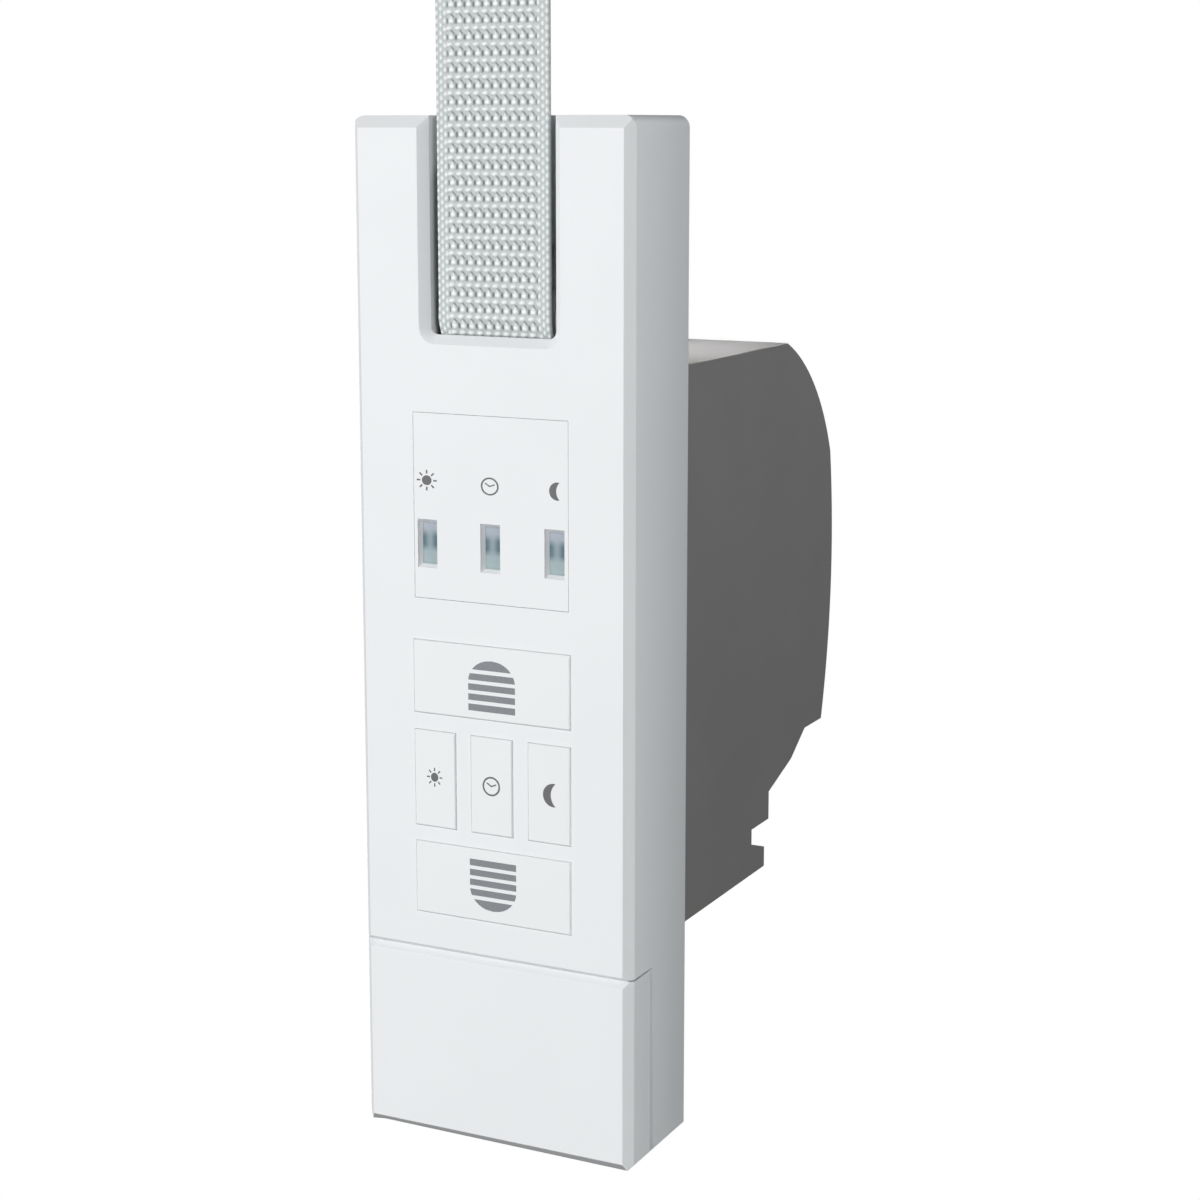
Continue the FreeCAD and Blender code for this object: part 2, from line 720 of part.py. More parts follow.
def mounting_frame():
    """A plate inside the front cover, with the roller's cheeks and the
    board's posts."""
    body = doc.addObject("PartDesign::Body", "mounting_frame")
    inside = "(" + INNER + " - fit_gap)"
    pad(body, "plate_thick", [rectangle(("-" + inside, inside),
                                        ("(" + SILL + " + fit_gap)", "(" + INNER_TOP + " - fit_gap)"))])
    cheek_in = "(" + CHANNEL_OUT + " + fit_gap)"
    cheek_out = "(" + cheek_in + " + cheek_thick)"
    heights = across(ROLLER_Z, "cheek_height")
    pad(body, "-" + ROLLER_Y + " + small_axle_radius + cheek_past",
        [rectangle(("-" + cheek_out, "-" + cheek_in), heights),
         rectangle((cheek_in, cheek_out), heights)])
    pad(body, "-" + BOARD_BACK, circles=[(x, z, "post_radius") for x, z in POSTS])
    pocket(body, "board_screw_length + cut_past",
           circles=[(x, z, "(board_screw_radius + seat_fit)") for x, z in POSTS],
           ahead="-" + BOARD_BACK)
    pocket(body, "cover_width", circles=[(ROLLER_Y, ROLLER_Z, "(small_axle_radius + seat_fit)")],
           role="YZ_Plane", both=True)
    side_way = "(" + HOUSING_OUT + " + fit_gap / 2)"
    window = rectangle(("-" + side_way, side_way),
                       (HOUSING_LOW + " - fit_gap / 2", HOUSING_TOP + " + fit_gap / 2"))
    entry = around("entry_x", "entry_level", "entry_width", "entry_height")
    pocket(body, "plate_thick + 2 * cut_past", [window, entry],
           circles=[("0", "face_height / 2 - fixing_inset", "fixing_radius"),
                    ("0", "fixing_inset - face_height / 2", "fixing_radius")],
           ahead="-cut_past", forward=True)
    keep(body, "mounting_frame")


# In-wall housing

def plane_sketch(name, corners):
    """A free sketch in the YZ plane."""
    sketch = doc.addObject("Sketcher::SketchObject", name)
    sketch.Placement = Placement(Vector(), Rotation(Vector(1, 1, 1), 120))
    draw_loop(sketch, corners)
    doc.recompute()
    return sketch


def extrude(name, base, length):
    """A face drawn along X."""
    solid = doc.addObject("Part::Extrusion", name)
    solid.Base = base
    solid.DirMode = "Custom"
    solid.Dir = Vector(1, 0, 0)
    solid.Solid = True
    bind(solid, LengthFwd=length)
    return solid


def housing():
    """Two shells that meet in the middle, with screw bosses and axle holes."""
    steps = [rear(point) for point in REAR_STEPS]
    corners = [("-plate_thick", HOUSING_LOW), ("-plate_thick", HOUSING_TOP),
               (rear((REAR_TOP, 0))[0], HOUSING_TOP, rear(REAR_UPPER)),
               rear(REAR_MIDDLE) + (rear(REAR_LOWER),), rear(REAR_END)]
    corners += steps + [(steps[-1][0], HOUSING_LOW)]
    outline = plane_sketch("housing_outline", corners)
    hollow = doc.addObject("Part::Offset2D", "housing_hollow")
    hollow.Source = outline
    hollow.Join = "Intersection"
    bind(hollow, Value="-housing_wall")
    shell = extrude("housing_solid", outline, HOUSING_OUT)
    space = extrude("housing_space", hollow, HOUSING_IN)
    mouth = block("housing_mouth", ("0", HOUSING_IN), ("-plate_thick - cut_past", "housing_wall"),
                  (FLOOR_IN, HOUSING_TOP + " - housing_wall"))
    half = without("housing_half", shell, [space, mouth])
    mirrored = doc.addObject("Part::Mirroring", "housing_mirror")
    mirrored.Source = half
    mirrored.Normal = Vector(1, 0, 0)
    left_in = "-" + HOUSING_IN
    left_out = "-" + HOUSING_OUT
    seat = left_out + " + screw_head"
    axle_end = "(" + HOUSING_IN + " + axle_seat)"
    collar = tube("reel_collar", "x", (REEL_Y, "reel_z"),
                  (left_in + " - end_play", "-" + REEL_SIDE + " - side_clearance"),
                  "hub_radius", "(reel_axle_radius + seat_fit)")
    right_tools = screw_rods("screw_pilot", ("-cut_past", "screw_bite + cut_past"), "boss_bore")
    right_tools += axle_rods(HOUSING_IN + " - cut_past", axle_end)
    right_bosses = screw_rods("right_boss", ("0", HOUSING_IN + " + end_play"), "boss_radius")
    right = union("right_ribbed", [half] + right_bosses)
    keep(without("housing_right", right, right_tools), "housing_right")
    left_tools = screw_rods("screw_way", (left_out + " - cut_past", "cut_past"), "boss_bore")
    left_tools += screw_rods("screw_seat", (left_out + " - cut_past", seat),
                             "(2 * boss_bore + screw_play)")
    left_tools += axle_rods("-" + axle_end, left_in + " + cut_past")
    left_bosses = screw_rods("left_boss", (left_in + " - end_play", "0"), "boss_radius")
    left = union("left_ribbed", [mirrored, collar] + left_bosses)
    keep(without("housing_left", left, left_tools), "housing_left")
    screws = screw_rods("housing_shank", (seat, "screw_bite"), "(boss_bore - run_clearance)")
    screws += screw_rods("housing_head", (left_out, seat), "(2 * boss_bore)")
    keep(union("housing_screws", screws), "housing_screws")


def screw_rods(name, span, radius):
    """A rod across the housing at each of its screws."""
    return [rod(name, "x", place, span, radius) for place in BOSSES]


BOSS_HIGH = "(" + HOUSING_TOP + " - boss_inset)"
BOSSES = [
    ("boss_front", BOSS_HIGH),
    ("(" + REEL_Y + " + boss_rear)", BOSS_HIGH),
    ("(" + REEL_Y + " + boss_rear)", "(2 * reel_z - " + BOSS_HIGH + ")"),
    ("(" + IDLER_Y + " - boss_low)", "(" + FLOOR_IN + " + boss_rise)"),
]


def axle_rods(low, high):
    """A rod through one housing wall at each axle that it holds."""
    return [rod("axle_hole", "x", centre, (low, high), "(%s + seat_fit)" % radius)
            for _, centre, radius in AXLES]


AXLES = [
    ("reel_axle", (REEL_Y, "reel_z"), "reel_axle_radius"),
    ("idler_axle", (IDLER_Y, IDLER_Z), "small_axle_radius"),
    ("wheel_axle", (WHEEL_Y, WHEEL_Z), "small_axle_radius"),
]


# Axles

def axles():
    end = "(" + HOUSING_IN + " + axle_seat - end_play)"
    for name, centre, radius in AXLES:
        keep(rod(name, "x", centre, ("-" + end, end), radius), name)
    reach = "(" + CHANNEL_OUT + " + fit_gap + cheek_thick)"
    keep(rod("roller_axle", "x", (ROLLER_Y, ROLLER_Z), ("-" + reach, reach), "small_axle_radius"),
         "roller_axle")
    bore = "(small_axle_radius + run_clearance)"
    wall = "(-" + HOUSING_IN + " + end_play)"
    keep(tube("idler_spacer", "x", (IDLER_Y, IDLER_Z), (wall, REEL_SIDE), "sleeve_radius", bore),
         "idler_spacer")
    keep(tube("wheel_spacer", "x", (WHEEL_Y, WHEEL_Z),
              (wall, "(-wheel_width / 2 - side_clearance)"), "sleeve_radius", bore), "wheel_spacer")


# Reel, gears, worm and belt have forms that the sketches and primitives don't give

def feature(name, shape, centre=None):
    """A sub-part from a shape, placed after it is set."""
    thing = doc.addObject("Part::Feature", name)
    thing.Shape = shape
    if centre is not None:
        thing.Placement = Placement(centre, Rotation())
    return keep(thing, name)


def polar(radius, angle, x=0.0):
    """A point in a plane across X, its angle counted from Y towards Z."""
    return Vector(x, radius * math.cos(angle), radius * math.sin(angle))


ADDENDUM = 0.85
DEDENDUM = 1.2
TIP_SHARE = 0.12
ROOT_SHARE = 0.29
WORM_STEPS = 16
WORM_SINK = 0.3
FLANGE_HOLES = 6


def tooth_wire(teeth, module, start, x):
    """A ring of straight-sided teeth, the first centred on the start angle."""
    pitch = 2 * math.pi / teeth
    radius = module * teeth / 2
    points = []
    for tooth in range(teeth):
        centre = start + tooth * pitch
        for share, reach in ((-ROOT_SHARE, -DEDENDUM), (-TIP_SHARE, ADDENDUM),
                             (TIP_SHARE, ADDENDUM), (ROOT_SHARE, -DEDENDUM)):
            points.append(polar(radius + reach * module, centre + share * pitch, x))
    return Part.makePolygon(points + points[:1])


def spur(teeth, module, start, low, high):
    """A spur gear blank between two planes."""
    return Part.Face(tooth_wire(teeth, module, start, low)).extrude(Vector(high - low, 0, 0))


def ring(low, high, outer, inner=0.0):
    """A disc or sleeve about the X axis."""
    disc = Part.makeCylinder(outer, high - low, Vector(low, 0, 0), Vector(1, 0, 0))
    if inner:
        disc = disc.cut(Part.makeCylinder(inner, high - low, Vector(low, 0, 0), Vector(1, 0, 0)))
    return disc


def mesh_starts():
    """Start angles that put a tooth of each gear into a gap of the next."""
    first = math.radians(size("idler_bearing"))
    second = math.radians(size("wheel_bearing"))
    idler = first + math.pi + math.pi / size("idler_teeth")
    phase = (second - idler) * size("idler_teeth") / (2 * math.pi)
    pinion = second + math.pi - (0.5 - phase) * 2 * math.pi / size("pinion_teeth")
    return first, idler, pinion


def reel():
    """A drum with the driven gear on its right flange, and a left flange."""
    centre = Vector(0, number(REEL_Y), size("reel_z"))
    half = number(REEL_HALF)
    side = number(REEL_SIDE)
    gear_end = number(GEAR_END)
    bore = size("reel_axle_radius") + size("run_clearance")
    past = size("cut_past")
    start = mesh_starts()[0]
    drum = ring(-half, half, size("drum_radius"), size("drum_radius") - size("drum_wall"))
    web = ring(-size("flange_thick"), size("flange_thick"), size("drum_radius") - past)
    hub = ring(-side, side, size("hub_radius"))
    flange = ring(half, side, size("flange_radius"))
    gear = spur(int(size("reel_teeth")), size("spur_module"), start, side, gear_end)
    solid = drum.fuse([web, hub, flange, gear]).removeSplitter()
    solid = solid.cut(ring(-side - past, gear_end + past, bore))
    feature("reel_drum", solid, centre)
    plate = ring(-side, -half, size("flange_radius"), size("hub_radius") + size("run_clearance"))
    for hole in range(FLANGE_HOLES):
        place = polar(size("flange_hole_ring"), hole * 2 * math.pi / FLANGE_HOLES, -side - past)
        depth = size("flange_thick") + 2 * past
        plate = plate.cut(Part.makeCylinder(size("flange_hole"), depth, place, Vector(1, 0, 0)))
    feature("reel_flange", plate, centre)


def gears():
    """The idler, and the worm wheel with its pinion as one moulding."""
    _, idler_start, pinion_start = mesh_starts()
    gear_end = number(GEAR_END)
    low = number(REEL_SIDE) + size("side_clearance")
    past = size("cut_past")
    bore = size("small_axle_radius") + size("run_clearance")
    idler = spur(int(size("idler_teeth")), size("spur_module"), idler_start, low, gear_end)
    idler = idler.cut(ring(low - past, gear_end + past, bore))
    feature("idler_gear", idler, Vector(0, number(IDLER_Y), number(IDLER_Z)))
    half = size("wheel_width") / 2
    teeth = int(size("wheel_teeth"))
    module = size("worm_module")
    lead_slope = module / (2 * size("worm_radius"))
    twist = lead_slope * size("wheel_width") / (module * teeth / 2)
    gap = math.pi + math.pi / teeth
    wires = [tooth_wire(teeth, module, gap - twist / 2, -half),
             tooth_wire(teeth, module, gap + twist / 2, half)]
    wheel = Part.makeLoft(wires, True, True)
    sleeve = ring(-half, gear_end, size("sleeve_radius"))
    pinion = spur(int(size("pinion_teeth")), size("spur_module"), pinion_start, low, gear_end)
    moulding = wheel.fuse([sleeve, pinion]).cut(ring(-half - past, gear_end + past, bore))
    feature("worm_wheel", moulding, Vector(0, number(WHEEL_Y), number(WHEEL_Z)))


def worm():
    """A right-handed thread whose crest meets the wheel's gap: ruled between
    trapezoids that climb around the shaft."""
    module = size("worm_module")
    lead = math.pi * module
    radius = size("worm_radius")
    length = size("worm_length")
    root = radius - DEDENDUM * module
    tip = radius + ADDENDUM * module
    reach = WORM_STEPS * (math.ceil(length / lead / 2) + 1)
    trapezoids = []
    for step in range(-reach, reach + 1):
        angle = math.pi / 2 + 2 * math.pi * step / WORM_STEPS
        climb = lead * step / WORM_STEPS
        corners = [Vector(r * math.cos(angle), r * math.sin(angle), climb + share * lead)
                   for r, share in ((root - WORM_SINK, -ROOT_SHARE), (tip, -TIP_SHARE),
                                    (tip, TIP_SHARE), (root - WORM_SINK, ROOT_SHARE))]
        trapezoids.append(Part.makePolygon(corners + corners[:1]))
    thread = Part.makeLoft(trapezoids, True, True)
    low = Vector(0, 0, -length / 2)
    core = Part.makeCylinder(root, length, low)
    body = thread.common(Part.makeCylinder(tip + size("cut_past"), length, low)).fuse(core)
    body = body.cut(Part.makeCylinder(size("shaft_radius"), length, low))
    feature("worm", body, Vector(0, number(WORM_Y), number(WHEEL_Z)))


def belt():
    """The belt from above the cover round the guide roller to the reel, and
    its turns on the reel as one spiral ribbon."""
    thick = size("belt_thick")
    width = size("belt_width")
    clear = size("belt_clearance")
    roller = Vector(0, number(ROLLER_Y), number(ROLLER_Z))
    centre = Vector(0, number(REEL_Y), size("reel_z"))
    top = number(TOP) + size("belt_free")
    pitch = thick + size("turn_gap")
    turns = int(size("coil_turns"))
    start = size("drum_radius") + size("run_clearance") + pitch / 4
    halves = 2 * turns
    outer_radius = start + (halves - 1) * pitch / 2 + thick + pitch / 4
    near_roller = size("roller_radius") + clear
    near_coil = outer_radius + clear
    span = centre - roller
    lean = math.acos((near_roller - near_coil) / span.Length)
    normal = math.atan2(span.z, span.y) - lean
    half_normal = (math.pi + normal % (2 * math.pi)) / 2

    def at(place, radius, angle):
        return place + polar(radius, angle, -width / 2)

    def side(inner_roller, inner_coil):
        return [
            Part.LineSegment(Vector(-width / 2, roller.y - inner_roller, top),
                             at(roller, inner_roller, math.pi)),
            Part.Arc(at(roller, inner_roller, math.pi), at(roller, inner_roller, half_normal),
                     at(roller, inner_roller, normal)),
            Part.LineSegment(at(roller, inner_roller, normal), at(centre, inner_coil, normal)),
        ]

    inner = side(near_roller, near_coil)
    outer = side(near_roller + thick, near_coil + thick)
    ends = [Part.LineSegment(inner[0].StartPoint, outer[0].StartPoint),
            Part.LineSegment(inner[2].EndPoint, outer[2].EndPoint)]
    wire = Part.Wire(Part.__sortEdges__([line.toShape() for line in inner + outer + ends]))
    feature("belt_strand", Part.Face(wire).extrude(Vector(width, 0, 0)))

    def spiral(extra):
        arcs = []
        for half in range(halves):
            sign = 1 if half % 2 == 0 else -1
            middle = Vector(-width / 2, -sign * pitch / 4, 0)
            across_y = Vector(0, sign * (start + half * pitch / 2 + extra), 0)
            up = Vector(0, 0, across_y.y)
            arcs.append(Part.Arc(middle + across_y, middle + up, middle - across_y))
        return arcs

    inside = spiral(0)
    outside = spiral(thick)
    caps = [Part.LineSegment(inside[0].StartPoint, outside[0].StartPoint),
            Part.LineSegment(inside[-1].EndPoint, outside[-1].EndPoint)]
    loop = Part.Wire(Part.__sortEdges__([line.toShape() for line in inside + outside + caps]))
    feature("belt_coil", Part.Face(loop).extrude(Vector(width, 0, 0)), centre)
    ratio = (outer_radius - thick / 2) / (near_roller + thick / 2)
    print("guide roller turns per reel turn: %.4f, coil radius %.3f" % (ratio, outer_radius))


def guide_roller():
    """A waisted roller: belt guides stand proud at its ends."""
    radius = size("roller_radius")
    rim = size("roller_rim")
    bore = size("small_axle_radius") + size("run_clearance")
    half = (size("belt_width") + size("roller_room")) / 2
    body = ring(-half, half, radius - size("roller_waist"))
    for low in (-half, half - rim):
        body = body.fuse(ring(low, low + rim, radius))
    body = body.cut(ring(-half, half, bore))
    feature("guide_roller", body, Vector(0, number(ROLLER_Y), number(ROLLER_Z)))


# Motor

def motor():
    axis = ("0", WORM_Y)
    bore = "(shaft_radius + run_clearance)"
    keep(tube("motor_can", "z", axis, (MOTOR_LOW, MOTOR_TOP), "motor_radius", bore), "motor_can")
    keep(tube("motor_end_cap", "z", axis, (MOTOR_TOP, MOTOR_TOP + " + cap_thick"),
              "motor_cap_radius", bore), "motor_end_cap")
    keep(rod("motor_shaft", "z", axis, (SHAFT_END, SHAFT_TOP), "shaft_radius"), "motor_shaft")
    magnet_low = "(" + MOTOR_TOP + " + cap_thick + side_clearance)"
    keep(tube("encoder_magnet", "z", axis, (magnet_low, magnet_low + " + magnet_thick"),
              "magnet_radius", "shaft_radius"), "encoder_magnet")
    under = "(" + MOTOR_LOW + " - bracket_thick)"
    plate_span = (under, MOTOR_LOW)
    edge = "(" + HOUSING_IN + " - end_play)"
    plate = block("bracket_plate", ("-" + edge, edge),
                  (WORM_Y + " - bracket_front", WORM_Y + " + bracket_back"), plate_span)
    places = [("(-motor_screw_x)", WORM_Y), ("motor_screw_x", WORM_Y)]
    holes = [rod("bracket_bore", "z", axis, plate_span, "(shaft_radius + cut_past)")]
    holes += [rod("bracket_hole", "z", place, plate_span, "(motor_screw + screw_play)") for place in places]
    keep(without("motor_bracket", plate, holes), "motor_bracket")
    screws = []
    for place in places:
        screws.append(rod("motor_shank", "z", place, plate_span, "motor_screw"))
        screws.append(rod("motor_head", "z", place, (under + " - screw_head", under), "2 * motor_screw"))
    keep(union("motor_screws", screws), "motor_screws")


def lead(points, bend, radius):
    """A wire along straight runs that a tangent arc joins at each turn."""
    start = points[0]
    pieces = []
    for before, corner, after in zip(points, points[1:], points[2:]):
        inward = (before - corner).normalize()
        onward = (after - corner).normalize()
        turn = math.pi - inward.getAngle(onward)
        setback = bend * math.tan(turn / 2)
        first = corner + inward * setback
        disc = Part.Face(Part.Wire(Part.makeCircle(radius, first, inward)))
        centre = first + (onward - inward * onward.dot(inward)).normalize() * bend
        pieces.append(Part.makeCylinder(radius, (first - start).Length, start, first - start))
        pieces.append(disc.revolve(centre, onward.cross(inward), math.degrees(turn)))
        start = corner + onward * setback
    pieces.append(Part.makeCylinder(radius, (points[-1] - start).Length, start, points[-1] - start))
    return pieces[0].fuse(pieces[1:]).removeSplitter()


def leads():
    """The motor's wires to the control board, and the mains wires from the
    terminals to the power board."""
    motor_y = number(WORM_Y)
    top = number(MOTOR_TOP) + size("cap_thick")
    board_back = number(BOARD_BACK)
    high = top + size("lead_rise")
    wires = []
    for x in (-size("lead_spread"), size("lead_spread")):
        route = [Vector(x, motor_y, top), Vector(x, motor_y, high), Vector(x, board_back, high)]
        wires.append(lead(route, size("lead_bend"), size("lead_radius")))
    feature("motor_leads", Part.makeCompound(wires))
    level = number(SUPPLY_LEVEL)
    start_y = -size("plate_thick") - size("terminal_depth") / 2
    end_y = number(POWER_FRONT) + size("supply_inset")
    wires = []
    for x in (-size("supply_x"), size("supply_pitch") - size("supply_x")):
        route = [Vector(x, start_y, number(TERMINAL_TOP)), Vector(x, start_y, level),
                 Vector(x, end_y, level), Vector(x, end_y, number(POWER_TOP))]
        wires.append(lead(route, size("supply_bend"), size("supply_radius")))
    feature("supply_leads", Part.makeCompound(wires))


# Mains side

def power_side():
    board_low = "(" + FLOOR_IN + " + side_clearance)"
    keep(block("power_board", across("0", "power_width"), (POWER_FRONT, REEL_Y), (board_low, POWER_TOP)),
         "power_board")
    back = "(" + REEL_Y + " - fit_gap)"
    front = "(" + POWER_FRONT + " + fit_gap)"
    keep(block("transformer", across("0", "transformer_width"), (back + " - transformer_depth", back),
               (POWER_TOP, POWER_TOP + " + transformer_height")), "transformer")
    relays = [block("relay", (x, x + " + relay_width"), (front, front + " + relay_depth"),
                    (POWER_TOP, POWER_TOP + " + relay_height"))
              for x in ("relay_start", "(relay_start + relay_width + relay_gap)")]
    keep(union("motor_relays", relays), "motor_relays")
    keep(rod("capacitor", "z", ("capacitor_x", front + " + capacitor_radius"),
             (POWER_TOP, POWER_TOP + " + capacitor_height"), "capacitor_radius"), "capacitor")
    face = "(-plate_thick - terminal_depth)"
    floor = face + " + terminal_well"
    left = "(-supply_x - terminal_margin)"
    right = left + " + terminal_width"
    strip = block("terminal_strip", (left, right), (face, "(-plate_thick)"),
                  (TERMINAL_TOP + " - terminal_height", TERMINAL_TOP))
    places = [(left + " + terminal_width * %d / 6" % share, TERMINAL_TOP + " - terminal_height / 2")
              for share in (1, 3, 5)]
    wells = [rod("terminal_hole", "y", place, (face, floor), "(terminal_screw + screw_play)")
             for place in places]
    keep(without("terminal_block", strip, wells), "terminal_block")
    pins = [rod("terminal_pin", "y", place, (face + " + cut_past", floor), "terminal_screw")
            for place in places]
    keep(union("terminal_screws", pins), "terminal_screws")
    fuse_right = "(" + INNER + " - fuse_margin)"
    keep(block("fuse_holder", (fuse_right + " - fuse_width", fuse_right),
               ("(-plate_thick - fuse_depth)", "(-plate_thick)"),
               (TERMINAL_TOP + " - fuse_height", TERMINAL_TOP)), "fuse_holder")


def check_and_export():
    """Stop on a failed object or a bad solid, then write each sub-part."""
    doc.recompute()
    faults = [thing.Name for thing in doc.Objects
              if "Invalid" in thing.State or "Error" in thing.State]
    for thing in parts:
        if thing.Shape.isNull() or not thing.Shape.isValid() or not thing.Shape.Solids:
            faults.append(thing.Label)
    if faults:
        raise RuntimeError("not sound: " + ", ".join(faults))
    os.makedirs("parts", exist_ok=True)
    for thing in parts:
        thing.Shape.exportStep("parts/" + thing.Label + ".step")
    print("%d sub-parts" % len(parts))


front_cover()
lower_cover()
indicator_panel()
indicator_lenses()
for key in KEYS:
    button(*key)
control_board()
mounting_frame()
housing()
axles()
doc.recompute()
reel()
gears()
worm()
belt()
guide_roller()
motor()
leads()
power_side()
check_and_export()
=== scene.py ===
import json
import math

import bmesh
import bpy
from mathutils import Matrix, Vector


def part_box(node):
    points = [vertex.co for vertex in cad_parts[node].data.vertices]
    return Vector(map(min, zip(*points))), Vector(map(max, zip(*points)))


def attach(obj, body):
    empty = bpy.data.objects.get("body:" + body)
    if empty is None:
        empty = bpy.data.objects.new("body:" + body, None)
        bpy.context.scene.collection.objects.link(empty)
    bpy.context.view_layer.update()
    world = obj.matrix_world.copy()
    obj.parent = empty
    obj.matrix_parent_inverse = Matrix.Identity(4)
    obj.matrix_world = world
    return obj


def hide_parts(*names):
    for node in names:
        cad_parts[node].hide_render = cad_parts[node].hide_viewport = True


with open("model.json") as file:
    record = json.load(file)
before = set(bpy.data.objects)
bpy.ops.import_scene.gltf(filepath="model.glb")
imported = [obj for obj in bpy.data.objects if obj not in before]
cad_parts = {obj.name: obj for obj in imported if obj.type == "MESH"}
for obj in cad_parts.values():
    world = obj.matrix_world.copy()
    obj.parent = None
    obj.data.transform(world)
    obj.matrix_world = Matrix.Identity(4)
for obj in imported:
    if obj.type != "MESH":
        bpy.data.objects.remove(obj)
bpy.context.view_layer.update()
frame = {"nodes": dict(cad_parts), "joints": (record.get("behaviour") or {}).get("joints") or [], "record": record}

# Electric belt winder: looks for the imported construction. Sizes are in metres,
# except in the printed signs, which are drawn in millimetres.
MM = 0.001
BODY_OF = {node: body for body, nodes in frame["record"]["behaviour"]["bodies"].items()
           for node in nodes}


# Shader nodes

def nodes_of(name):
    """A new material with its node tree and its shader."""
    made = bpy.data.materials.new(name)
    made.use_nodes = True
    tree = made.node_tree
    return made, tree, tree.nodes["Principled BSDF"]


def feed(tree, socket, value):
    """Link a socket to another one, or give it a constant."""
    if isinstance(value, bpy.types.NodeSocket):
        tree.links.new(value, socket)
    else:
        socket.default_value = value


def place_in_metres(tree):
    """Coordinates of the surface in the object's own frame."""
    return tree.nodes.new("ShaderNodeTexCoord").outputs["Object"]


def axes_of(tree, place):
    """The sockets X, Y and Z of a place."""
    split = tree.nodes.new("ShaderNodeSeparateXYZ")
    tree.links.new(place, split.inputs["Vector"])
    return split.outputs


def mapped(tree, value, start=(0.0, 1.0), end=(0.0, 1.0), smooth=False):
    """A value moved from one range to another."""
    node = tree.nodes.new("ShaderNodeMapRange")
    if smooth:
        node.interpolation_type = "SMOOTHSTEP"
    for name, limit in zip(("From Min", "From Max", "To Min", "To Max"), (*start, *end)):
        node.inputs[name].default_value = limit
    tree.links.new(value, node.inputs["Value"])
    return node.outputs["Result"]


def maths(tree, operation, *values):
    """An operation on sockets and constants."""
    node = tree.nodes.new("ShaderNodeMath")
    node.operation = operation
    for socket, value in zip(node.inputs, values):
        feed(tree, socket, value)
    return node.outputs["Value"]


def mixed(tree, kind, factor, first, second, blend="MIX"):
    """Two numbers or colours mixed by a factor."""
    node = tree.nodes.new("ShaderNodeMix")
    node.data_type = kind
    node.blend_type = blend
    for name, value in (("Factor", factor), ("A", first), ("B", second)):
        feed(tree, node.inputs[name], value)
    return node.outputs["Result"]


def noise(tree, scale, detail=2.0, stretch=(1, 1, 1)):
    """Noise with features of about 1 / scale metres."""
    mapping = tree.nodes.new("ShaderNodeMapping")
    mapping.inputs["Scale"].default_value = stretch
    tree.links.new(place_in_metres(tree), mapping.inputs["Vector"])
    texture = tree.nodes.new("ShaderNodeTexNoise")
    texture.inputs["Scale"].default_value = scale
    texture.inputs["Detail"].default_value = detail
    tree.links.new(mapping.outputs["Vector"], texture.inputs["Vector"])
    return texture.outputs["Fac"]


def ramp(tree, factor, stops):
    """A colour ramp between (place, colour) stops."""
    node = tree.nodes.new("ShaderNodeValToRGB")
    elements = node.color_ramp.elements
    while len(elements) < len(stops):
        elements.new(1.0)
    for element, (place, colour) in zip(elements, stops):
        element.position = place
        element.color = (*colour, 1.0)
    tree.links.new(factor, node.inputs["Fac"])
    return node.outputs["Color"]


def bump(tree, shader, height, strength, distance):
    """Relief of the surface from a height."""
    node = tree.nodes.new("ShaderNodeBump")
    node.inputs["Strength"].default_value = strength
    node.inputs["Distance"].default_value = distance
    tree.links.new(height, node.inputs["Height"])
    tree.links.new(node.outputs["Normal"], shader.inputs["Normal"])


def shade(colour, factor):
    """A colour made darker or lighter."""
    return tuple(min(1.0, channel * factor) for channel in colour)


def grey(level):
    return (level,) * 3


# Materials

# Features of the noises, per metre
CLOUDS = 40.0
WEAR = 120.0
RIPPLES = 700.0
INK_MOTTLE = 2500.0
DRAWN_LINES = 3000.0
SPARK_GRAIN = 5000.0

# Where most values of a noise begin and end
NOISE_LOW = 0.3
NOISE_HIGH = 0.7
STREAK_LOW = 0.2
STREAK_HIGH = 0.8

# How far the patches differ from the mean, in roughness and in colour
WEAR_SPREAD = 0.05
SHINE_SPREAD = (-0.08, 0.1)
STREAK_SHADE = 0.85
MOTTLE_DEPTH = 0.07

GRAIN_RELIEF = 0.006 * MM
STREAK_RELIEF = 0.004 * MM
RIPPLE_RELIEF = 0.02 * MM


def moulded(name, colour, roughness, variation=0.02, grain=SPARK_GRAIN, specular=0.5):
    """Moulded plastic: a fine spark-eroded grain and a faint cloudiness."""
    made, tree, shader = nodes_of(name)
    clouds = ramp(tree, noise(tree, CLOUDS), [
        (NOISE_LOW, shade(colour, 1 - variation)), (NOISE_HIGH, shade(colour, 1 + variation))])
    tree.links.new(clouds, shader.inputs["Base Color"])
    wear = mapped(tree, noise(tree, WEAR, detail=4.0),
                  end=(roughness - WEAR_SPREAD, roughness + WEAR_SPREAD))
    tree.links.new(wear, shader.inputs["Roughness"])
    shader.inputs["Specular IOR Level"].default_value = specular
    bump(tree, shader, noise(tree, grain, detail=3.0), strength=0.6, distance=GRAIN_RELIEF)
    return made


def metal(name, colour, roughness, brushed=(1, 1, 1)):
    """Bare or plated metal with fine drawn lines."""
    made, tree, shader = nodes_of(name)
    shader.inputs["Metallic"].default_value = 1.0
    streaks = noise(tree, DRAWN_LINES, detail=4.0, stretch=brushed)
    lines = ramp(tree, streaks, [(STREAK_LOW, shade(colour, STREAK_SHADE)),
                                 (STREAK_HIGH, colour)])
    tree.links.new(lines, shader.inputs["Base Color"])
    shine = mapped(tree, streaks, end=[roughness + spread for spread in SHINE_SPREAD])
    tree.links.new(shine, shader.inputs["Roughness"])
    bump(tree, shader, streaks, strength=0.3, distance=STREAK_RELIEF)
    return made


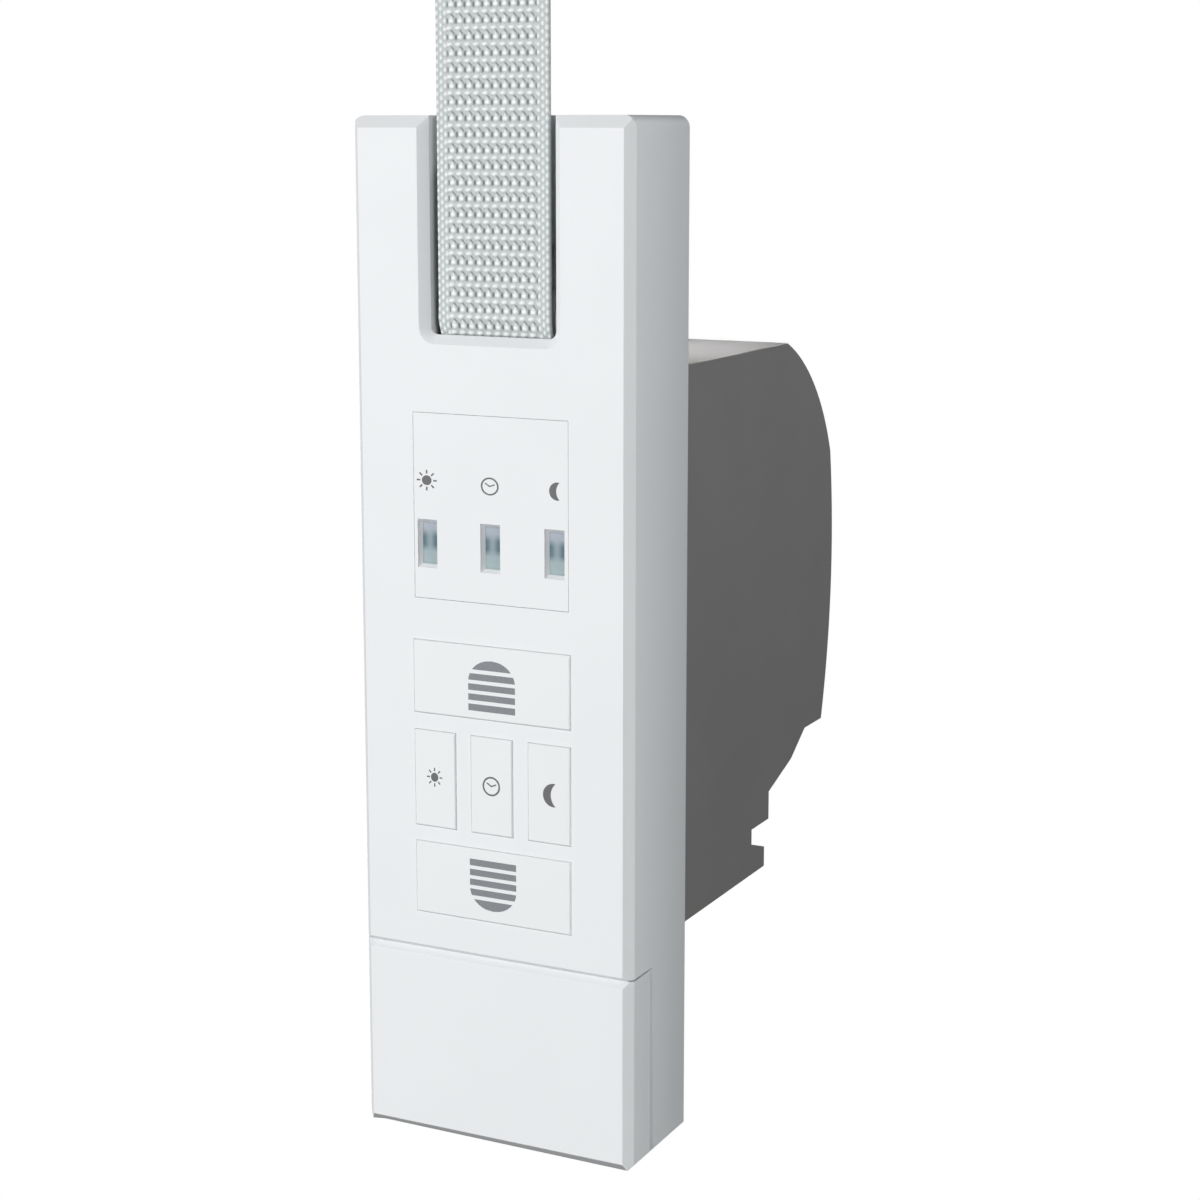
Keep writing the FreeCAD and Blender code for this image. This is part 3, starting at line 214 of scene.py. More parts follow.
def ink(name, colour):
    """Pad-printed ink: matte and slightly mottled."""
    made, tree, shader = nodes_of(name)
    mottle = ramp(tree, noise(tree, INK_MOTTLE), [
        (NOISE_LOW, shade(colour, 1 - MOTTLE_DEPTH)),
        (NOISE_HIGH, shade(colour, 1 + MOTTLE_DEPTH))])
    tree.links.new(mottle, shader.inputs["Base Color"])
    shader.inputs["Roughness"].default_value = 0.6
    return made


PLASTICS = {
    "white_plastic": dict(colour=(0.80, 0.815, 0.83), roughness=0.55, variation=0.008,
                          specular=0.3),
    "key_plastic": dict(colour=(0.805, 0.82, 0.83), roughness=0.53, variation=0.008,
                        specular=0.3),
    "grey_plastic": dict(colour=(0.292, 0.278, 0.275), roughness=0.6, variation=0.03,
                         grain=2500.0, specular=0.25),
    "black_plastic": dict(colour=(0.02, 0.02, 0.022), roughness=0.5, variation=0.1),
    "natural_nylon": dict(colour=(0.72, 0.71, 0.66), roughness=0.45, variation=0.04),
    "roller_plastic": dict(colour=(0.55, 0.55, 0.54), roughness=0.4, variation=0.04),
    "circuit_board": dict(colour=(0.02, 0.13, 0.06), roughness=0.35, variation=0.15, grain=900.0),
    "relay_blue": dict(colour=(0.02, 0.06, 0.28), roughness=0.4, variation=0.05),
    "capacitor_sleeve": dict(colour=(0.015, 0.015, 0.035), roughness=0.25, variation=0.05),
    "terminal_green": dict(colour=(0.03, 0.2, 0.07), roughness=0.45, variation=0.05),
    "ferrite": dict(colour=(0.05, 0.05, 0.052), roughness=0.6, variation=0.15, grain=1500.0),
    "wire_red": dict(colour=(0.4, 0.02, 0.015), roughness=0.45, variation=0.05),
    "wire_brown": dict(colour=(0.13, 0.045, 0.02), roughness=0.45, variation=0.05),
    "led_epoxy": dict(colour=(0.75, 0.8, 0.8), roughness=0.12),
}
METALS = {
    "zinc_steel": dict(colour=(0.62, 0.63, 0.64), roughness=0.38),
    "bright_steel": dict(colour=(0.62, 0.62, 0.63), roughness=0.25, brushed=(0.2, 4, 4)),
    "core_steel": dict(colour=(0.25, 0.25, 0.26), roughness=0.5, brushed=(6, 0.3, 0.3)),
    "worm_brass": dict(colour=(0.75, 0.56, 0.24), roughness=0.28, brushed=(4, 4, 0.3)),
}
LOOK = {slot: moulded(slot, **look) for slot, look in PLASTICS.items()}
LOOK.update({slot: metal(slot, **look) for slot, look in METALS.items()})
LOOK["panel_plastic"] = LOOK["white_plastic"]
SIGN_INK = ink("sign_ink", (0.125, 0.125, 0.13))
BAR_INK = ink("bar_ink", (0.21, 0.225, 0.24))

WINDOW_PITCH = 13.2 * MM
WINDOW_WIDTH = 4.0 * MM
WINDOW_HEIGHT = 8.9 * MM

# The glass by its height: its tones, and where the bars of the light guide show
GLASS_TONES = [
    (0.06, (0.22, 0.26, 0.28)), (0.16, (0.36, 0.45, 0.46)), (0.5, (0.36, 0.43, 0.47)),
    (0.84, (0.40, 0.44, 0.50)), (0.94, (0.24, 0.26, 0.30))]
BAR_LEVELS = [(0.34, grey(0)), (0.46, grey(1)), (0.62, grey(1)), (0.76, grey(0))]
BAR_TONE = (0.13, 0.20, 0.23, 1.0)
# The bars fade towards the middle of a window, to this share of their strength: a painted vertical highlight
BAR_FADE = 0.35
BAR_INSIDE = 0.1 * MM
BAR_OUTSIDE = 1.2 * MM


def window_glass():
    """Blue-grey window: two darker bars of the light guide show through at
    half height, weaker down the middle of each window as a painted highlight."""
    made, tree, shader = nodes_of("clear_window")
    place = axes_of(tree, place_in_metres(tree))
    low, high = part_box("indicator_lenses")
    level = mapped(tree, place["Z"], start=(low.z, high.z))
    column = maths(tree, "WRAP", place["X"], WINDOW_PITCH / 2, -WINDOW_PITCH / 2)
    aside = maths(tree, "ABSOLUTE", column)
    # Weaker bars down the middle of each window paint a vertical highlight
    bar = mapped(tree, aside, (BAR_INSIDE, BAR_OUTSIDE), (BAR_FADE, 1.0), smooth=True)
    weight = maths(tree, "MULTIPLY", ramp(tree, level, BAR_LEVELS), bar)
    glass = mixed(tree, "RGBA", weight, ramp(tree, level, GLASS_TONES), BAR_TONE)
    tree.links.new(glass, shader.inputs["Base Color"])
    shader.inputs["Roughness"].default_value = 0.12
    bump(tree, shader, noise(tree, RIPPLES, detail=3.0), strength=0.4, distance=RIPPLE_RELIEF)
    return made


LOOK["clear_window"] = window_glass()


# Meshes and pieces

def mesh_from(shape, name, smooth=False):
    """A mesh with the form of a shape, which is freed."""
    mesh = bpy.data.meshes.new(name)
    shape.to_mesh(mesh)
    shape.free()
    for polygon in mesh.polygons:
        polygon.use_smooth = smooth
    return mesh


def put_on(thing, made):
    """One material over the whole of an object."""
    thing.data.materials.clear()
    thing.data.materials.append(made)


def new_piece(name, mesh, body, made):
    """A mesh as a named piece that rides on a body."""
    piece = bpy.data.objects.new(name, mesh)
    bpy.context.scene.collection.objects.link(piece)
    put_on(piece, made)
    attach(piece, body)
    return piece


# Rounded shells over the construction's own faces

KEYS = ("up_button", "down_button", "day_button", "clock_button", "night_button")
KEY_ROUND = 0.07 * MM
KEY_SWELL = 0.09 * MM
EDGE_ROUND = {
    "front_cover": 0.14 * MM, "lower_cover": 0.14 * MM, "indicator_panel": 0.05 * MM,
    "mounting_frame": 0.14 * MM, "housing_left": 0.3 * MM, "housing_right": 0.3 * MM,
    **dict.fromkeys(KEYS, KEY_ROUND),
}

# Edges sharper than this are rounded, and faces flatter than this are one face
SHARP = math.radians(25)
FLAT = math.radians(1)

# How near counts as one place, as upright and as on a plane
SAME_PLACE = 0.002 * MM
UPRIGHT_LEAN = 0.01 * MM
NEAR_PLANE = 0.1 * MM

# The slope above the joint between the covers: where its outer corners are,
# more than its size, and the share of its size that it keeps
FACE_HALF = 26.9 * MM
JOINT_GAP = 0.3 * MM
SLOPE_REACH = 1.5 * MM
SLOPE_SHARE = 0.65

# The skirt's two front edges: they are longer and lie further out than this,
# and end less than this above the joint
SKIRT_LENGTH = 10 * MM
SKIRT_HALF = 27 * MM
SKIRT_AHEAD = 2 * MM
SKIRT_OVERLAP = 1 * MM
SKIRT_ROUND = 0.8 * MM

# The lower cover's bottom chamfer: more than its size, and how far its back and
# front edges move
CHAMFER_DEPTH = 3 * MM
CHAMFER_HEIGHT = 2 * MM
BOTTOM_BACK = 1.8 * MM
BOTTOM_UP = 0.65 * MM


def shrink_slope(shape, front, joint):
    """Make the slope above the joint smaller, its outer corners kept."""
    for vert in shape.verts:
        corner = Vector((math.copysign(FACE_HALF, vert.co.x), front, joint))
        step = vert.co - corner
        if max(abs(step.x), abs(step.y), abs(step.z)) < SLOPE_REACH:
            vert.co = corner + step * SLOPE_SHARE


def on_skirt_front(edge, top):
    """True for the upright front edges of the skirt behind the lower cover."""
    low, high = sorted((vert.co for vert in edge.verts), key=lambda place: place.z)
    upright = (high - low).length > SKIRT_LENGTH and (high.xy - low.xy).length < UPRIGHT_LEAN
    return upright and high.z < top and abs(low.x) > SKIRT_HALF and low.y < -SKIRT_AHEAD


def reshape_front_cover(shape, node):
    """A finer slope above the joint, and a rounder skirt below it."""
    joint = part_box("lower_cover")[1].z + JOINT_GAP
    shrink_slope(shape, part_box(node)[0].y, joint)
    long = [edge for edge in shape.edges if on_skirt_front(edge, joint + SKIRT_OVERLAP)]
    bmesh.ops.bevel(shape, geom=long, offset=SKIRT_ROUND, offset_type="OFFSET", segments=4,
                    profile=0.5, affect="EDGES", clamp_overlap=True)


def reshape_lower_cover(shape, node):
    """The bottom chamfer turned further down, its outline kept."""
    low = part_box(node)[0]
    for vert in shape.verts:
        if vert.co.z < low.z + NEAR_PLANE and vert.co.y < low.y + CHAMFER_DEPTH:
            vert.co.y += BOTTOM_BACK
        elif vert.co.z < low.z + CHAMFER_HEIGHT and vert.co.y < low.y + NEAR_PLANE:
            vert.co.z += BOTTOM_UP


def swell_key(shape, node):
    """A key made slightly larger, so that its outline is a finer line."""
    low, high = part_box(node)
    for vert in shape.verts:
        vert.co.x += math.copysign(KEY_SWELL, vert.co.x - (low.x + high.x) / 2)
        vert.co.z += math.copysign(KEY_SWELL, vert.co.z - (low.z + high.z) / 2)


RESHAPE = {
    "front_cover": reshape_front_cover, "lower_cover": reshape_lower_cover,
    **dict.fromkeys(KEYS, swell_key),
}


def rounded(node, made):
    """A copy of a node with its sharp edges rounded."""
    shape = bmesh.new()
    shape.from_mesh(frame["nodes"][node].data)
    bmesh.ops.remove_doubles(shape, verts=shape.verts, dist=SAME_PLACE)
    bmesh.ops.dissolve_limit(shape, angle_limit=FLAT, verts=shape.verts, edges=shape.edges)
    if node in RESHAPE:
        RESHAPE[node](shape, node)
    name = node + "_skin"
    piece = new_piece(name, mesh_from(shape, name, smooth=True), BODY_OF[node], made)
    edges = piece.modifiers.new("edges", "BEVEL")
    edges.width = EDGE_ROUND[node]
    edges.segments = 2
    edges.limit_method = "ANGLE"
    edges.angle_limit = SHARP
    edges.use_clamp_overlap = True
    normals = piece.modifiers.new("normals", "WEIGHTED_NORMAL")
    normals.weight = 100
    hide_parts(node)


WOVEN = ("belt_strand", "belt_coil")
for part in frame["record"]["subparts"]:
    node = part["node"]
    slot = part["material_slot"]
    if node in EDGE_ROUND:
        rounded(node, LOOK[slot])
    elif node not in WOVEN:
        put_on(frame["nodes"][node], LOOK[slot])


# Sloping borders of the windows

RIM_IN = 0.5 * MM
RIM_OUT = 0.12 * MM
RIM_SUNK = 0.06 * MM
RIM_OFF_GLASS = 0.01 * MM


def window_rims():
    """Sloping borders from the panel's face down to each window."""
    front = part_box("indicator_panel")[0].y + RIM_SUNK
    low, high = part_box("indicator_lenses")
    foot = low.y - RIM_OFF_GLASS
    level = (low.z + high.z) / 2
    shape = bmesh.new()
    for step in (-1, 0, 1):
        rings = []
        for grow, depth in ((RIM_OUT, front), (RIM_OUT, foot), (-RIM_IN, foot)):
            half_x = WINDOW_WIDTH / 2 + grow
            half_z = WINDOW_HEIGHT / 2 + grow
            rings.append([
                shape.verts.new((step * WINDOW_PITCH + x * half_x, depth, level + z * half_z))
                for x, z in ((-1, -1), (1, -1), (1, 1), (-1, 1))])
        for above, below in zip(rings, rings[1:] + rings[:1]):
            for corner in range(4):
                after = (corner + 1) % 4
                shape.faces.new([above[corner], above[after], below[after], below[corner]])
    bmesh.ops.recalc_face_normals(shape, faces=shape.faces)
    return mesh_from(shape, "window_rims")


new_piece("window_rims", window_rims(), "root", LOOK["panel_plastic"])


# Woven belt

BELT_WIDTH = 23.0 * MM
BELT_THICK = 1.3 * MM
BELT_OFF_COIL = 0.3 * MM
COLUMN_PITCH = 1.8 * MM
ROW_PITCH = 2.84 * MM
CORE_HALF = 0.28 * MM
BEAD = 0.36 * MM
ACROSS_STEP = 0.16 * MM
ALONG_STEP = 0.2 * MM
# The step on the straight run inside the housing
HIDDEN_STEP = 4 * ALONG_STEP

# The belt thins out over this width, to this share of its thickness at the edge
THIN_WIDTH = 0.35 * MM
THIN_SHARE = 0.35

# The weave's forms, in pitches (across, along): their places and half sizes
BEAD_HALF = (0.43, 0.21)
FLOAT_PLACE = (0.25, 0.43)
FLOAT_HALF = (0.49, 0.18)
FLOAT_LEAN = 0.3
TENT_ROW = 0.8
TENT_HALF = (0.25, 0.16)
SLOT_HALF = (0.15, 0.22)
CREASE_PLACE = (0.62, 0.68)
CREASE_HALF = (0.12, 0.16)
CREASE_LEAN = 1.5

# Heights of the forms, as shares of a bead
FLOAT_HEIGHT = 0.96
TENT_HEIGHT = 0.8
GROUND_HEIGHT = 0.42
HOLLOW_DEPTH = 0.42

# The selvedge's ribs
SELVEDGE = 2.5 * MM
RIB_PITCH = SELVEDGE / 3
RIB_HALF = (0.55, 0.22)
RIB_HEIGHT = 0.95
RIB_GROUND = 0.4


def joint_place(name):
    """Where a joint of the record is."""
    joint = next(item for item in frame["joints"] if item["name"] == name)
    return Vector(joint["pos_m"])


def dome(across, along, half_across, half_along):
    """Height of a rounded bead, from 0 at its rim to 1."""
    inside = 1 - (across / half_across) ** 2 - (along / half_along) ** 2
    return math.sqrt(inside) if inside > 0 else 0.0


def from_nearest(value, pitch, shift=0.0):
    """Distance to the nearest of evenly pitched places."""
    return (value - shift + pitch / 2) % pitch - pitch / 2


def rib_height(edge, along):
    """Relief of the selvedge at a distance from the belt's edge."""
    column = int(edge / RIB_PITCH)
    middle = RIB_PITCH * (column + 0.5)
    row = from_nearest(along, ROW_PITCH / 2, ROW_PITCH / 4 * (column % 2))
    rib = dome(edge - middle, row, RIB_PITCH * RIB_HALF[0], ROW_PITCH * RIB_HALF[1])
    return max(RIB_GROUND, RIB_HEIGHT * rib)


def weave_height(across, along):
    """Relief of the webbing, from 0 to 1: rows of beads with slots between them
    (the colour paints them dark as shade), a row of floats above each, and finer ribs at the edges."""
    edge = BELT_WIDTH / 2 - abs(across)
    if edge < SELVEDGE:
        return rib_height(edge, along)

    def column_from(place):
        return from_nearest(across, COLUMN_PITCH, place * COLUMN_PITCH) / COLUMN_PITCH

    def row_from(place):
        return from_nearest(along, ROW_PITCH, place * ROW_PITCH) / ROW_PITCH

    column = column_from(0.5)
    row = row_from(0)
    float_row = row_from(FLOAT_PLACE[1])
    float_column = column_from(FLOAT_PLACE[0]) + FLOAT_LEAN * float_row
    crease_row = row_from(CREASE_PLACE[1])
    crease_column = column_from(CREASE_PLACE[0] + CREASE_LEAN * crease_row)
    yarn = max(dome(column, row, *BEAD_HALF),
               FLOAT_HEIGHT * dome(float_column, float_row, *FLOAT_HALF),
               TENT_HEIGHT * dome(column, row_from(TENT_ROW), *TENT_HALF), GROUND_HEIGHT)
    hollow = max(dome(column_from(0), row, *SLOT_HALF),
                 dome(crease_column, crease_row, *CREASE_HALF))
    return yarn - HOLLOW_DEPTH * hollow


def belt_path():
    """Stations (centre, outward, along) down the front, round the roller and
    back to the reel, as the construction's strand runs."""
    roller = joint_place("roller_spin")
    reel = joint_place("reel_spin")
    low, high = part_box("belt_strand")
    coil_low, coil_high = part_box("belt_coil")
    roller_radius = roller.y - low.y - BELT_THICK
    near_roller = roller_radius + BELT_THICK / 2
    near_coil = (coil_high.y - coil_low.y) / 2 + BELT_OFF_COIL + BELT_THICK / 2
    span = reel - roller
    lean = math.acos((near_roller - near_coil) / span.length)
    normal = (math.atan2(span.z, span.y) - lean) % (2 * math.pi)

    front = Vector((0, -1, 0))
    run = high.z - roller.z
    steps = round(run / ALONG_STEP)
    stations = []
    for step in range(steps):
        along = run * step / steps
        centre = Vector((0, roller.y - near_roller, high.z - along))
        stations.append((centre, front, along))

    turn = normal - math.pi
    arc = turn * near_roller
    steps = round(arc / ALONG_STEP)
    for step in range(steps):
        angle = math.pi + turn * step / steps
        outward = Vector((0, math.cos(angle), math.sin(angle)))
        stations.append((roller + outward * near_roller, outward, run + arc * step / steps))

    outward = Vector((0, math.cos(normal), math.sin(normal)))
    first = roller + outward * near_roller
    last = reel + outward * near_coil
    length = (last - first).length
    steps = round(length / HIDDEN_STEP)
    for step in range(steps + 1):
        along = run + arc + length * step / steps
        stations.append((first.lerp(last, step / steps), outward, along))
    return stations


def woven_belt():
    """The belt as two woven faces, closed along its edges and ends."""
    stations = belt_path()
    columns = round(BELT_WIDTH / ACROSS_STEP)
    shape = bmesh.new()
    tint = shape.verts.layers.float_color.new("weave")
    sides = []
    for facing in (1, -1):
        rows = []
        for centre, outward, along in stations:
            row = []
            for column in range(columns + 1):
                across = BELT_WIDTH * (column / columns - 0.5)
                height = weave_height(across, along + (0 if facing > 0 else ROW_PITCH / 2))
                inward = min(1.0, (BELT_WIDTH / 2 - abs(across)) / THIN_WIDTH)
                fullness = THIN_SHARE + (1 - THIN_SHARE) * math.sqrt(inward)
                lift = (CORE_HALF + BEAD * height) * fullness
                vert = shape.verts.new(centre + Vector((across, 0, 0)) + outward * facing * lift)
                # The height also drives the colour: painted shade where the weave is low, painted highlight where
                # it is high
                vert[tint] = (*grey(height), 1.0)
                row.append(vert)
            rows.append(row)
        sides.append(rows)
    for rows, facing in zip(sides, (1, -1)):
        for above, below in zip(rows, rows[1:]):
            for column in range(columns):
                corners = [above[column], below[column], below[column + 1], above[column + 1]]
                shape.faces.new(corners if facing > 0 else corners[::-1])
    front, back = sides
    for column in (0, columns):
        for row in range(len(stations) - 1):
            shape.faces.new([front[row][column], front[row + 1][column],
                             back[row + 1][column], back[row][column]])
    for row in (0, len(stations) - 1):
        for column in range(columns):
            shape.faces.new([front[row][column], front[row][column + 1],
                             back[row][column + 1], back[row][column]])
    bmesh.ops.recalc_face_normals(shape, faces=shape.faces)
    return mesh_from(shape, "woven_belt", smooth=True)


# Yarn tone by the weave's height: painted shade darkens slots and creases, and a painted highlight whitens the
# crests
YARN_TONES_WITH_PAINTED_LIGHT = [
    (0.0, (0.11, 0.14, 0.14)), (0.42, (0.50, 0.54, 0.535)), (0.75, (0.73, 0.765, 0.765)),
    (0.9, (0.86, 0.885, 0.885)), (1.0, (0.98, 1.0, 1.0))]
FIBRES = 6000.0
FIBRE_STRETCH = (1, 1, 0.25)
FIBRE_SHADE = 0.86
FINE_FIBRES = 9000.0
FINE_STRETCH = (1, 1, 0.2)
FIBRE_RELIEF = 0.01 * MM


def webbing():
    """Woven polyester: pale yarn with fibre lines, painted shade in the gaps and a painted highlight on the
    crests.
    """
    made, tree, shader = nodes_of("woven_belt")
    depth = tree.nodes.new("ShaderNodeVertexColor")
    depth.layer_name = "weave"
    # Painted shade in the hollows and painted highlight on the crests, from the height in the vertex colours
    colours = ramp(tree, depth.outputs["Color"], YARN_TONES_WITH_PAINTED_LIGHT)
    fibres = ramp(tree, noise(tree, FIBRES, detail=3.0, stretch=FIBRE_STRETCH),
                  [(NOISE_LOW, grey(FIBRE_SHADE)), (NOISE_HIGH, grey(1.0))])
    yarn = mixed(tree, "RGBA", 1.0, colours, fibres, blend="MULTIPLY")
    tree.links.new(yarn, shader.inputs["Base Color"])
    shader.inputs["Roughness"].default_value = 0.5
    shader.inputs["Sheen Weight"].default_value = 0.25
    bump(tree, shader, noise(tree, FINE_FIBRES, stretch=FINE_STRETCH), strength=0.5,
         distance=FIBRE_RELIEF)
    return made


WEBBING = webbing()
belt = new_piece("woven_belt", woven_belt(), "root", WEBBING)
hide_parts("belt_strand")
put_on(frame["nodes"]["belt_coil"], WEBBING)


# Printed signs, each drawn about its middle

def on_circle(radius, turn):
    """A point of a circle; turn is in radians."""
    return radius * math.cos(turn), radius * math.sin(turn)


def stroke(start, end, width):
    """A straight bar between two points."""
    (x1, z1), (x2, z2) = start, end
    length = math.hypot(x2 - x1, z2 - z1)
    nx = -(z2 - z1) / length * width / 2
    nz = (x2 - x1) / length * width / 2
    return [(x1 + nx, z1 + nz), (x1 - nx, z1 - nz), (x2 - nx, z2 - nz), (x2 + nx, z2 + nz)]


def disc(radius, count=32):
    return [on_circle(radius, 2 * math.pi * step / count) for step in range(count)]


def ring(radius, width, count=40):
    """A ring as a run of four-cornered faces."""
    return [[on_circle(reach, 2 * math.pi * place / count) for place, reach in (
                (step, radius), (step + 1, radius),
                (step + 1, radius - width), (step, radius - width))]
            for step in range(count)]


# Measures of the sun and the clock, as shares of their size
SUN_RAYS = 8
SUN_RADIUS = 0.24
RAY_START = 0.32
RAY_END = 0.5
RAY_WIDTH = 0.075
CLOCK_RADIUS = 0.5
CLOCK_BAND = 0.09
HAND_WIDTH = 0.07
HANDS = [((0, 0), (-0.26, 0.17)), ((-0.02, 0), (0.28, 0.11))]


def sun(size):
    """A disc with short rays."""
    shapes = [disc(SUN_RADIUS * size)]
    for ray in range(SUN_RAYS):
        turn = 2 * math.pi * ray / SUN_RAYS
        shapes.append(stroke(on_circle(RAY_START * size, turn),
                             on_circle(RAY_END * size, turn), RAY_WIDTH * size))
    return shapes


def clock(size):
    """A ring with two hands."""
    shapes = ring(CLOCK_RADIUS * size, CLOCK_BAND * size)
    for start, end in HANDS:
        shapes.append(stroke([place * size for place in start],
                             [place * size for place in end], HAND_WIDTH * size))
    return shapes


def moon(width, height, thickness, count=14):
    """A crescent open to the right, as a run of four-cornered faces."""
    half = height / 2

    def bow(depth, share):
        """How far in and how high a bow of this depth is at a share of its length."""
        radius = (half * half + depth * depth) / (2 * depth)
        limit = math.asin(half / radius)
        if depth > half:
            limit = math.pi - limit
        reach, rise = on_circle(radius, limit * (2 * share - 1))
        return reach - (radius - depth), rise

    shapes = []
    for step in range(count):
        corners = []
        for depth, place in ((width, step), (width, step + 1),
                             (width - thickness, step + 1), (width - thickness, step)):
            reach, rise = bow(depth, place / count)
            corners.append((width / 2 - reach, rise))
        shapes.append(corners)
    return shapes


SLATS_WIDTH = 9.8
SLATS_HEIGHT = 9.7
HEAD_RISE = 4.3
# Top and bottom of each slat, down from the head
SLATS = [(0.0, 1.9), (2.65, 3.9), (4.6, 5.82), (6.5, 7.72), (8.42, SLATS_HEIGHT)]


def slats(flip=1, count=10):
    """Slats under a round head; flip turns the sign upside down."""
    shapes = []
    for top, bottom in SLATS:
        for step in range(count):
            corners = []
            for place, side in ((step, -1), (step, 1), (step + 1, 1), (step + 1, -1)):
                depth = top + (bottom - top) * place / count
                over = max(0.0, 1 - depth / HEAD_RISE)
                half = SLATS_WIDTH / 2 * math.sqrt(1 - over * over)
                corners.append((side * half, flip * (SLATS_HEIGHT / 2 - depth)))
            shapes.append(corners)
    return shapes


INK_PROUD = 0.02
INK_WELD = 0.0005


def sign(name, shapes, x, z, face, body, made, stretch=1.0):
    """Thin plates of ink on a face, drawn about a point. Stretch is sideways."""
    shape = bmesh.new()
    for corners in shapes:
        front, back = (
            [shape.verts.new(((x + px * stretch) * MM, y * MM, (z + pz) * MM))
             for px, pz in corners] for y in (face - INK_PROUD, face + INK_PROUD))
        shape.faces.new(front)
        shape.faces.new(back[::-1])
        for step in range(len(corners)):
            after = (step + 1) % len(corners)
            shape.faces.new([front[step], back[step], back[after], front[after]])
    bmesh.ops.remove_doubles(shape, verts=shape.verts, dist=INK_WELD * MM)
    bmesh.ops.recalc_face_normals(shape, faces=shape.faces)
    new_piece(name, mesh_from(shape, name), body, made)


def panel_sign(name, shapes, x, z, stretch=1.0):
    """A sign above a window."""
    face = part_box("indicator_panel")[0].y / MM
    sign(name, shapes, x, z, face, "root", SIGN_INK, stretch)


def key_sign(key, shapes, aside, above, made=SIGN_INK, stretch=1.0):
    """A sign near the middle of a key."""
    low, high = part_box(key + "_button")
    x = (low.x + high.x) / 2 / MM + aside
    z = (low.z + high.z) / 2 / MM + above
    sign(key + "_sign", shapes, x, z, low.y / MM, key + "_key", made, stretch)


SIGN_LEVEL = 30.9
SIGN_ASIDE = WINDOW_PITCH / MM
PANEL_STRETCH = 1.12
DAY_SQUEEZE = 0.9

PANEL_MOON = moon(width=2.1, height=3.2, thickness=1.4)
NIGHT_MOON = moon(width=2.6, height=4.4, thickness=1.6)

panel_sign("panel_sun", sun(size=3.8), -SIGN_ASIDE, SIGN_LEVEL + 0.3, PANEL_STRETCH)
panel_sign("panel_clock", clock(size=3.3), 0.0, SIGN_LEVEL, PANEL_STRETCH)
panel_sign("panel_moon", PANEL_MOON, SIGN_ASIDE, SIGN_LEVEL)
key_sign("up", slats(), aside=0.2, above=-0.5, made=BAR_INK)
key_sign("down", slats(flip=-1), aside=0.2, above=0.1, made=BAR_INK)
key_sign("day", sun(size=3.65), aside=-0.1, above=0.4, stretch=DAY_SQUEEZE)
key_sign("clock", clock(size=3.7), aside=0.0, above=0.1)
key_sign("night", NIGHT_MOON, aside=0.1, above=0.0)


# Lights and camera

# Light of the studio by height, and its share by depth, each over -1 to 1
WALL_LEVELS = [(-1.0, 0.03), (-0.3, 0.03), (-0.05, 0.3), (0.06, 0.62), (0.3, 0.4),
               (0.55, 0.02), (1.0, 0.0)]
BACKDROP_SHARE = [(-1.0, 0.3), (-0.3, 0.4), (0.3, 0.52), (1.0, 1.5)]
WALL_TINT = (0.91, 1.0, 1.02, 1.0)
WHITE = (1.0, 1.0, 1.0, 1.0)
# A ramp ends at 1, so both ramps hold a half of their levels
RAMP_SCALE = 2
RAMPS_SCALE = RAMP_SCALE ** 2


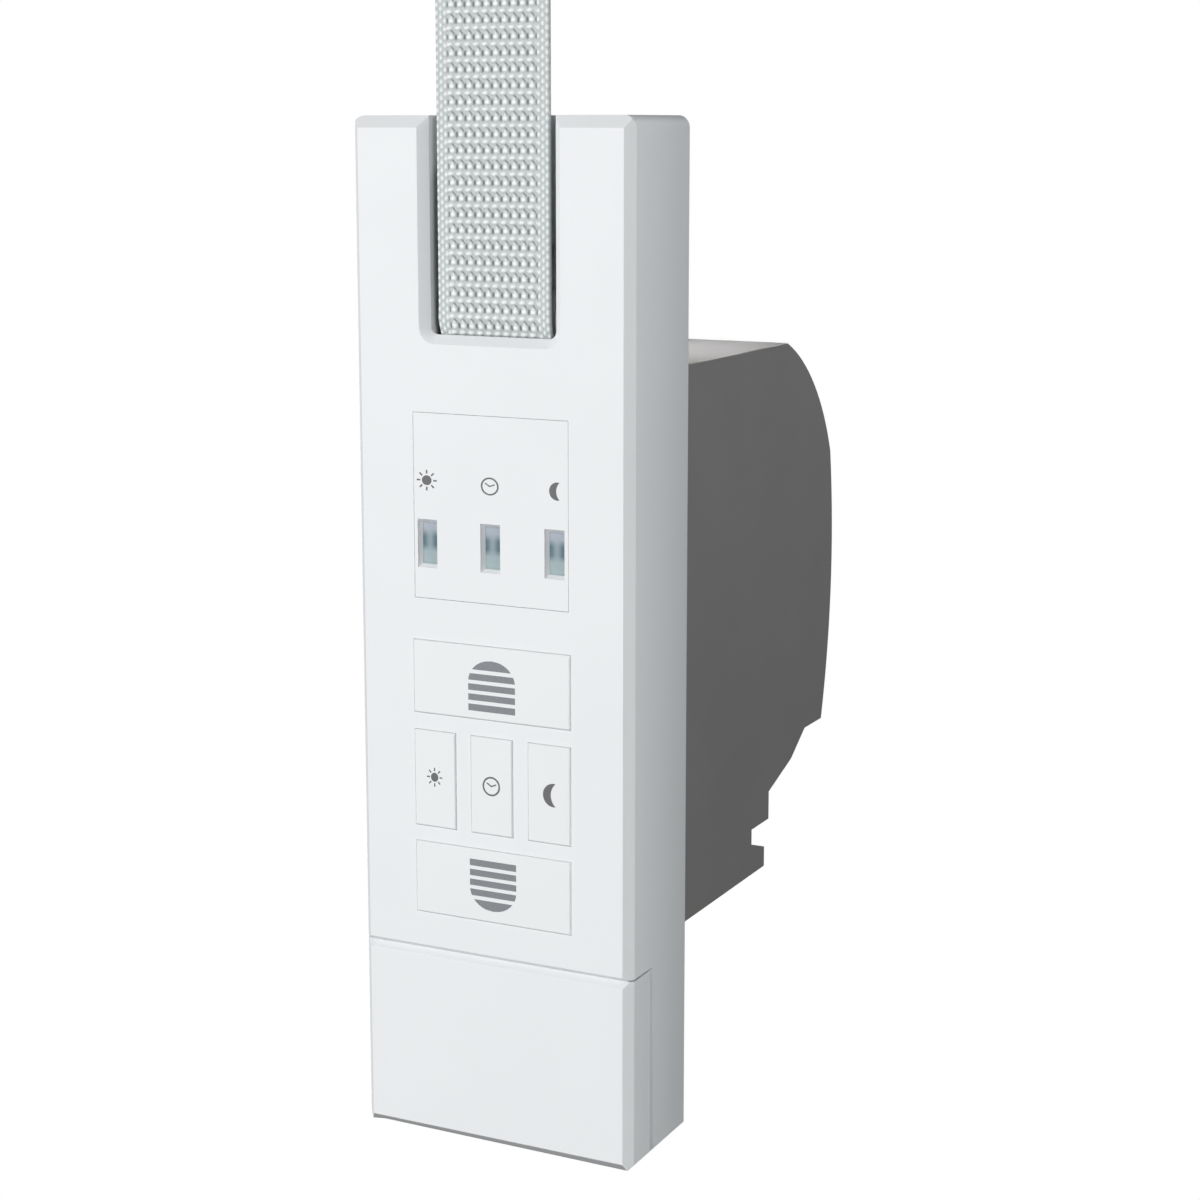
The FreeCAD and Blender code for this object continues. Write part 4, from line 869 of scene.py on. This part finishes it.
def surroundings():
    """White where the camera looks; elsewhere a studio whose walls are lighter
    than its floor and ceiling, and lightest at the back."""
    world = bpy.data.worlds.new("studio")
    bpy.context.scene.world = world
    world.use_nodes = True
    tree = world.node_tree
    background = tree.nodes["Background"]
    axes = axes_of(tree, tree.nodes.new("ShaderNodeTexCoord").outputs["Generated"])
    camera_ray = tree.nodes.new("ShaderNodeLightPath").outputs["Is Camera Ray"]

    def graded(axis, stops):
        halved = [((place + 1) / 2, grey(level / RAMP_SCALE)) for place, level in stops]
        return ramp(tree, mapped(tree, axes[axis], start=(-1.0, 1.0)), halved)

    walls = maths(tree, "MULTIPLY", graded("Z", WALL_LEVELS), graded("Y", BACKDROP_SHARE))
    seen = mixed(tree, "FLOAT", camera_ray, walls, 1 / RAMPS_SCALE)
    strength = maths(tree, "MULTIPLY", seen, float(RAMPS_SCALE))
    tint = mixed(tree, "RGBA", camera_ray, WALL_TINT, WHITE)
    tree.links.new(strength, background.inputs["Strength"])
    tree.links.new(tint, background.inputs["Color"])


surroundings()


def softbox(name, place, aim, size, power, spread=180):
    """A rectangular area light; spread is how far its grid lets light turn."""
    data = bpy.data.lights.new(name, "AREA")
    data.shape = "RECTANGLE"
    data.size, data.size_y = size
    data.energy = power
    data.spread = math.radians(spread)
    light = bpy.data.objects.new(name, data)
    light.location = place
    light.rotation_mode = "QUATERNION"
    light.rotation_quaternion = (Vector(aim) - Vector(place)).to_track_quat("-Z", "Y")
    bpy.context.scene.collection.objects.link(light)


softbox("key", place=(-1.1, -2.05, 0.42), aim=(0, 0, 0), size=(1.2, 1.2), power=55.5)
softbox("fill", place=(1.8, -1.25, 0.2), aim=(0, 0, 0), size=(1.0, 1.0), power=13.5)
softbox("rear", place=(0.3, 0.17, 0.33), aim=(0.03, 0, 0.03), size=(0.08, 0.08), power=0.26)
softbox("strip", place=(0.5, -0.035, 0.0), aim=(0, -0.035, 0), size=(0.05, 0.5), power=0.019,
        spread=8)
softbox("top", place=(0, 0.05, 0.5), aim=(0, 0.05, 0), size=(0.05, 0.05), power=0.015,
        spread=8)

CAMERA_PLACE = (209.4 * MM, -401.3 * MM, 95.6 * MM)
CAMERA_YAW = math.radians(26.375)
CAMERA_PITCH = math.radians(-9.81)
CAMERA_SHIFT = -0.05
NEAR_CLIP = 0.01
FOCAL_PIXELS = 2404.6
PICTURE_PIXELS = 1200
SENSOR = 36.0

camera_data = bpy.data.cameras.new("camera")
camera_data.sensor_width = SENSOR
camera_data.lens = FOCAL_PIXELS / PICTURE_PIXELS * SENSOR
camera_data.shift_y = CAMERA_SHIFT
camera_data.clip_start = NEAR_CLIP
camera = bpy.data.objects.new("camera", camera_data)
camera.location = CAMERA_PLACE
camera.rotation_euler = (math.pi / 2 + CAMERA_PITCH, 0, CAMERA_YAW)
bpy.context.scene.collection.objects.link(camera)
bpy.context.scene.camera = camera
bpy.context.scene.view_settings.view_transform = "Standard"
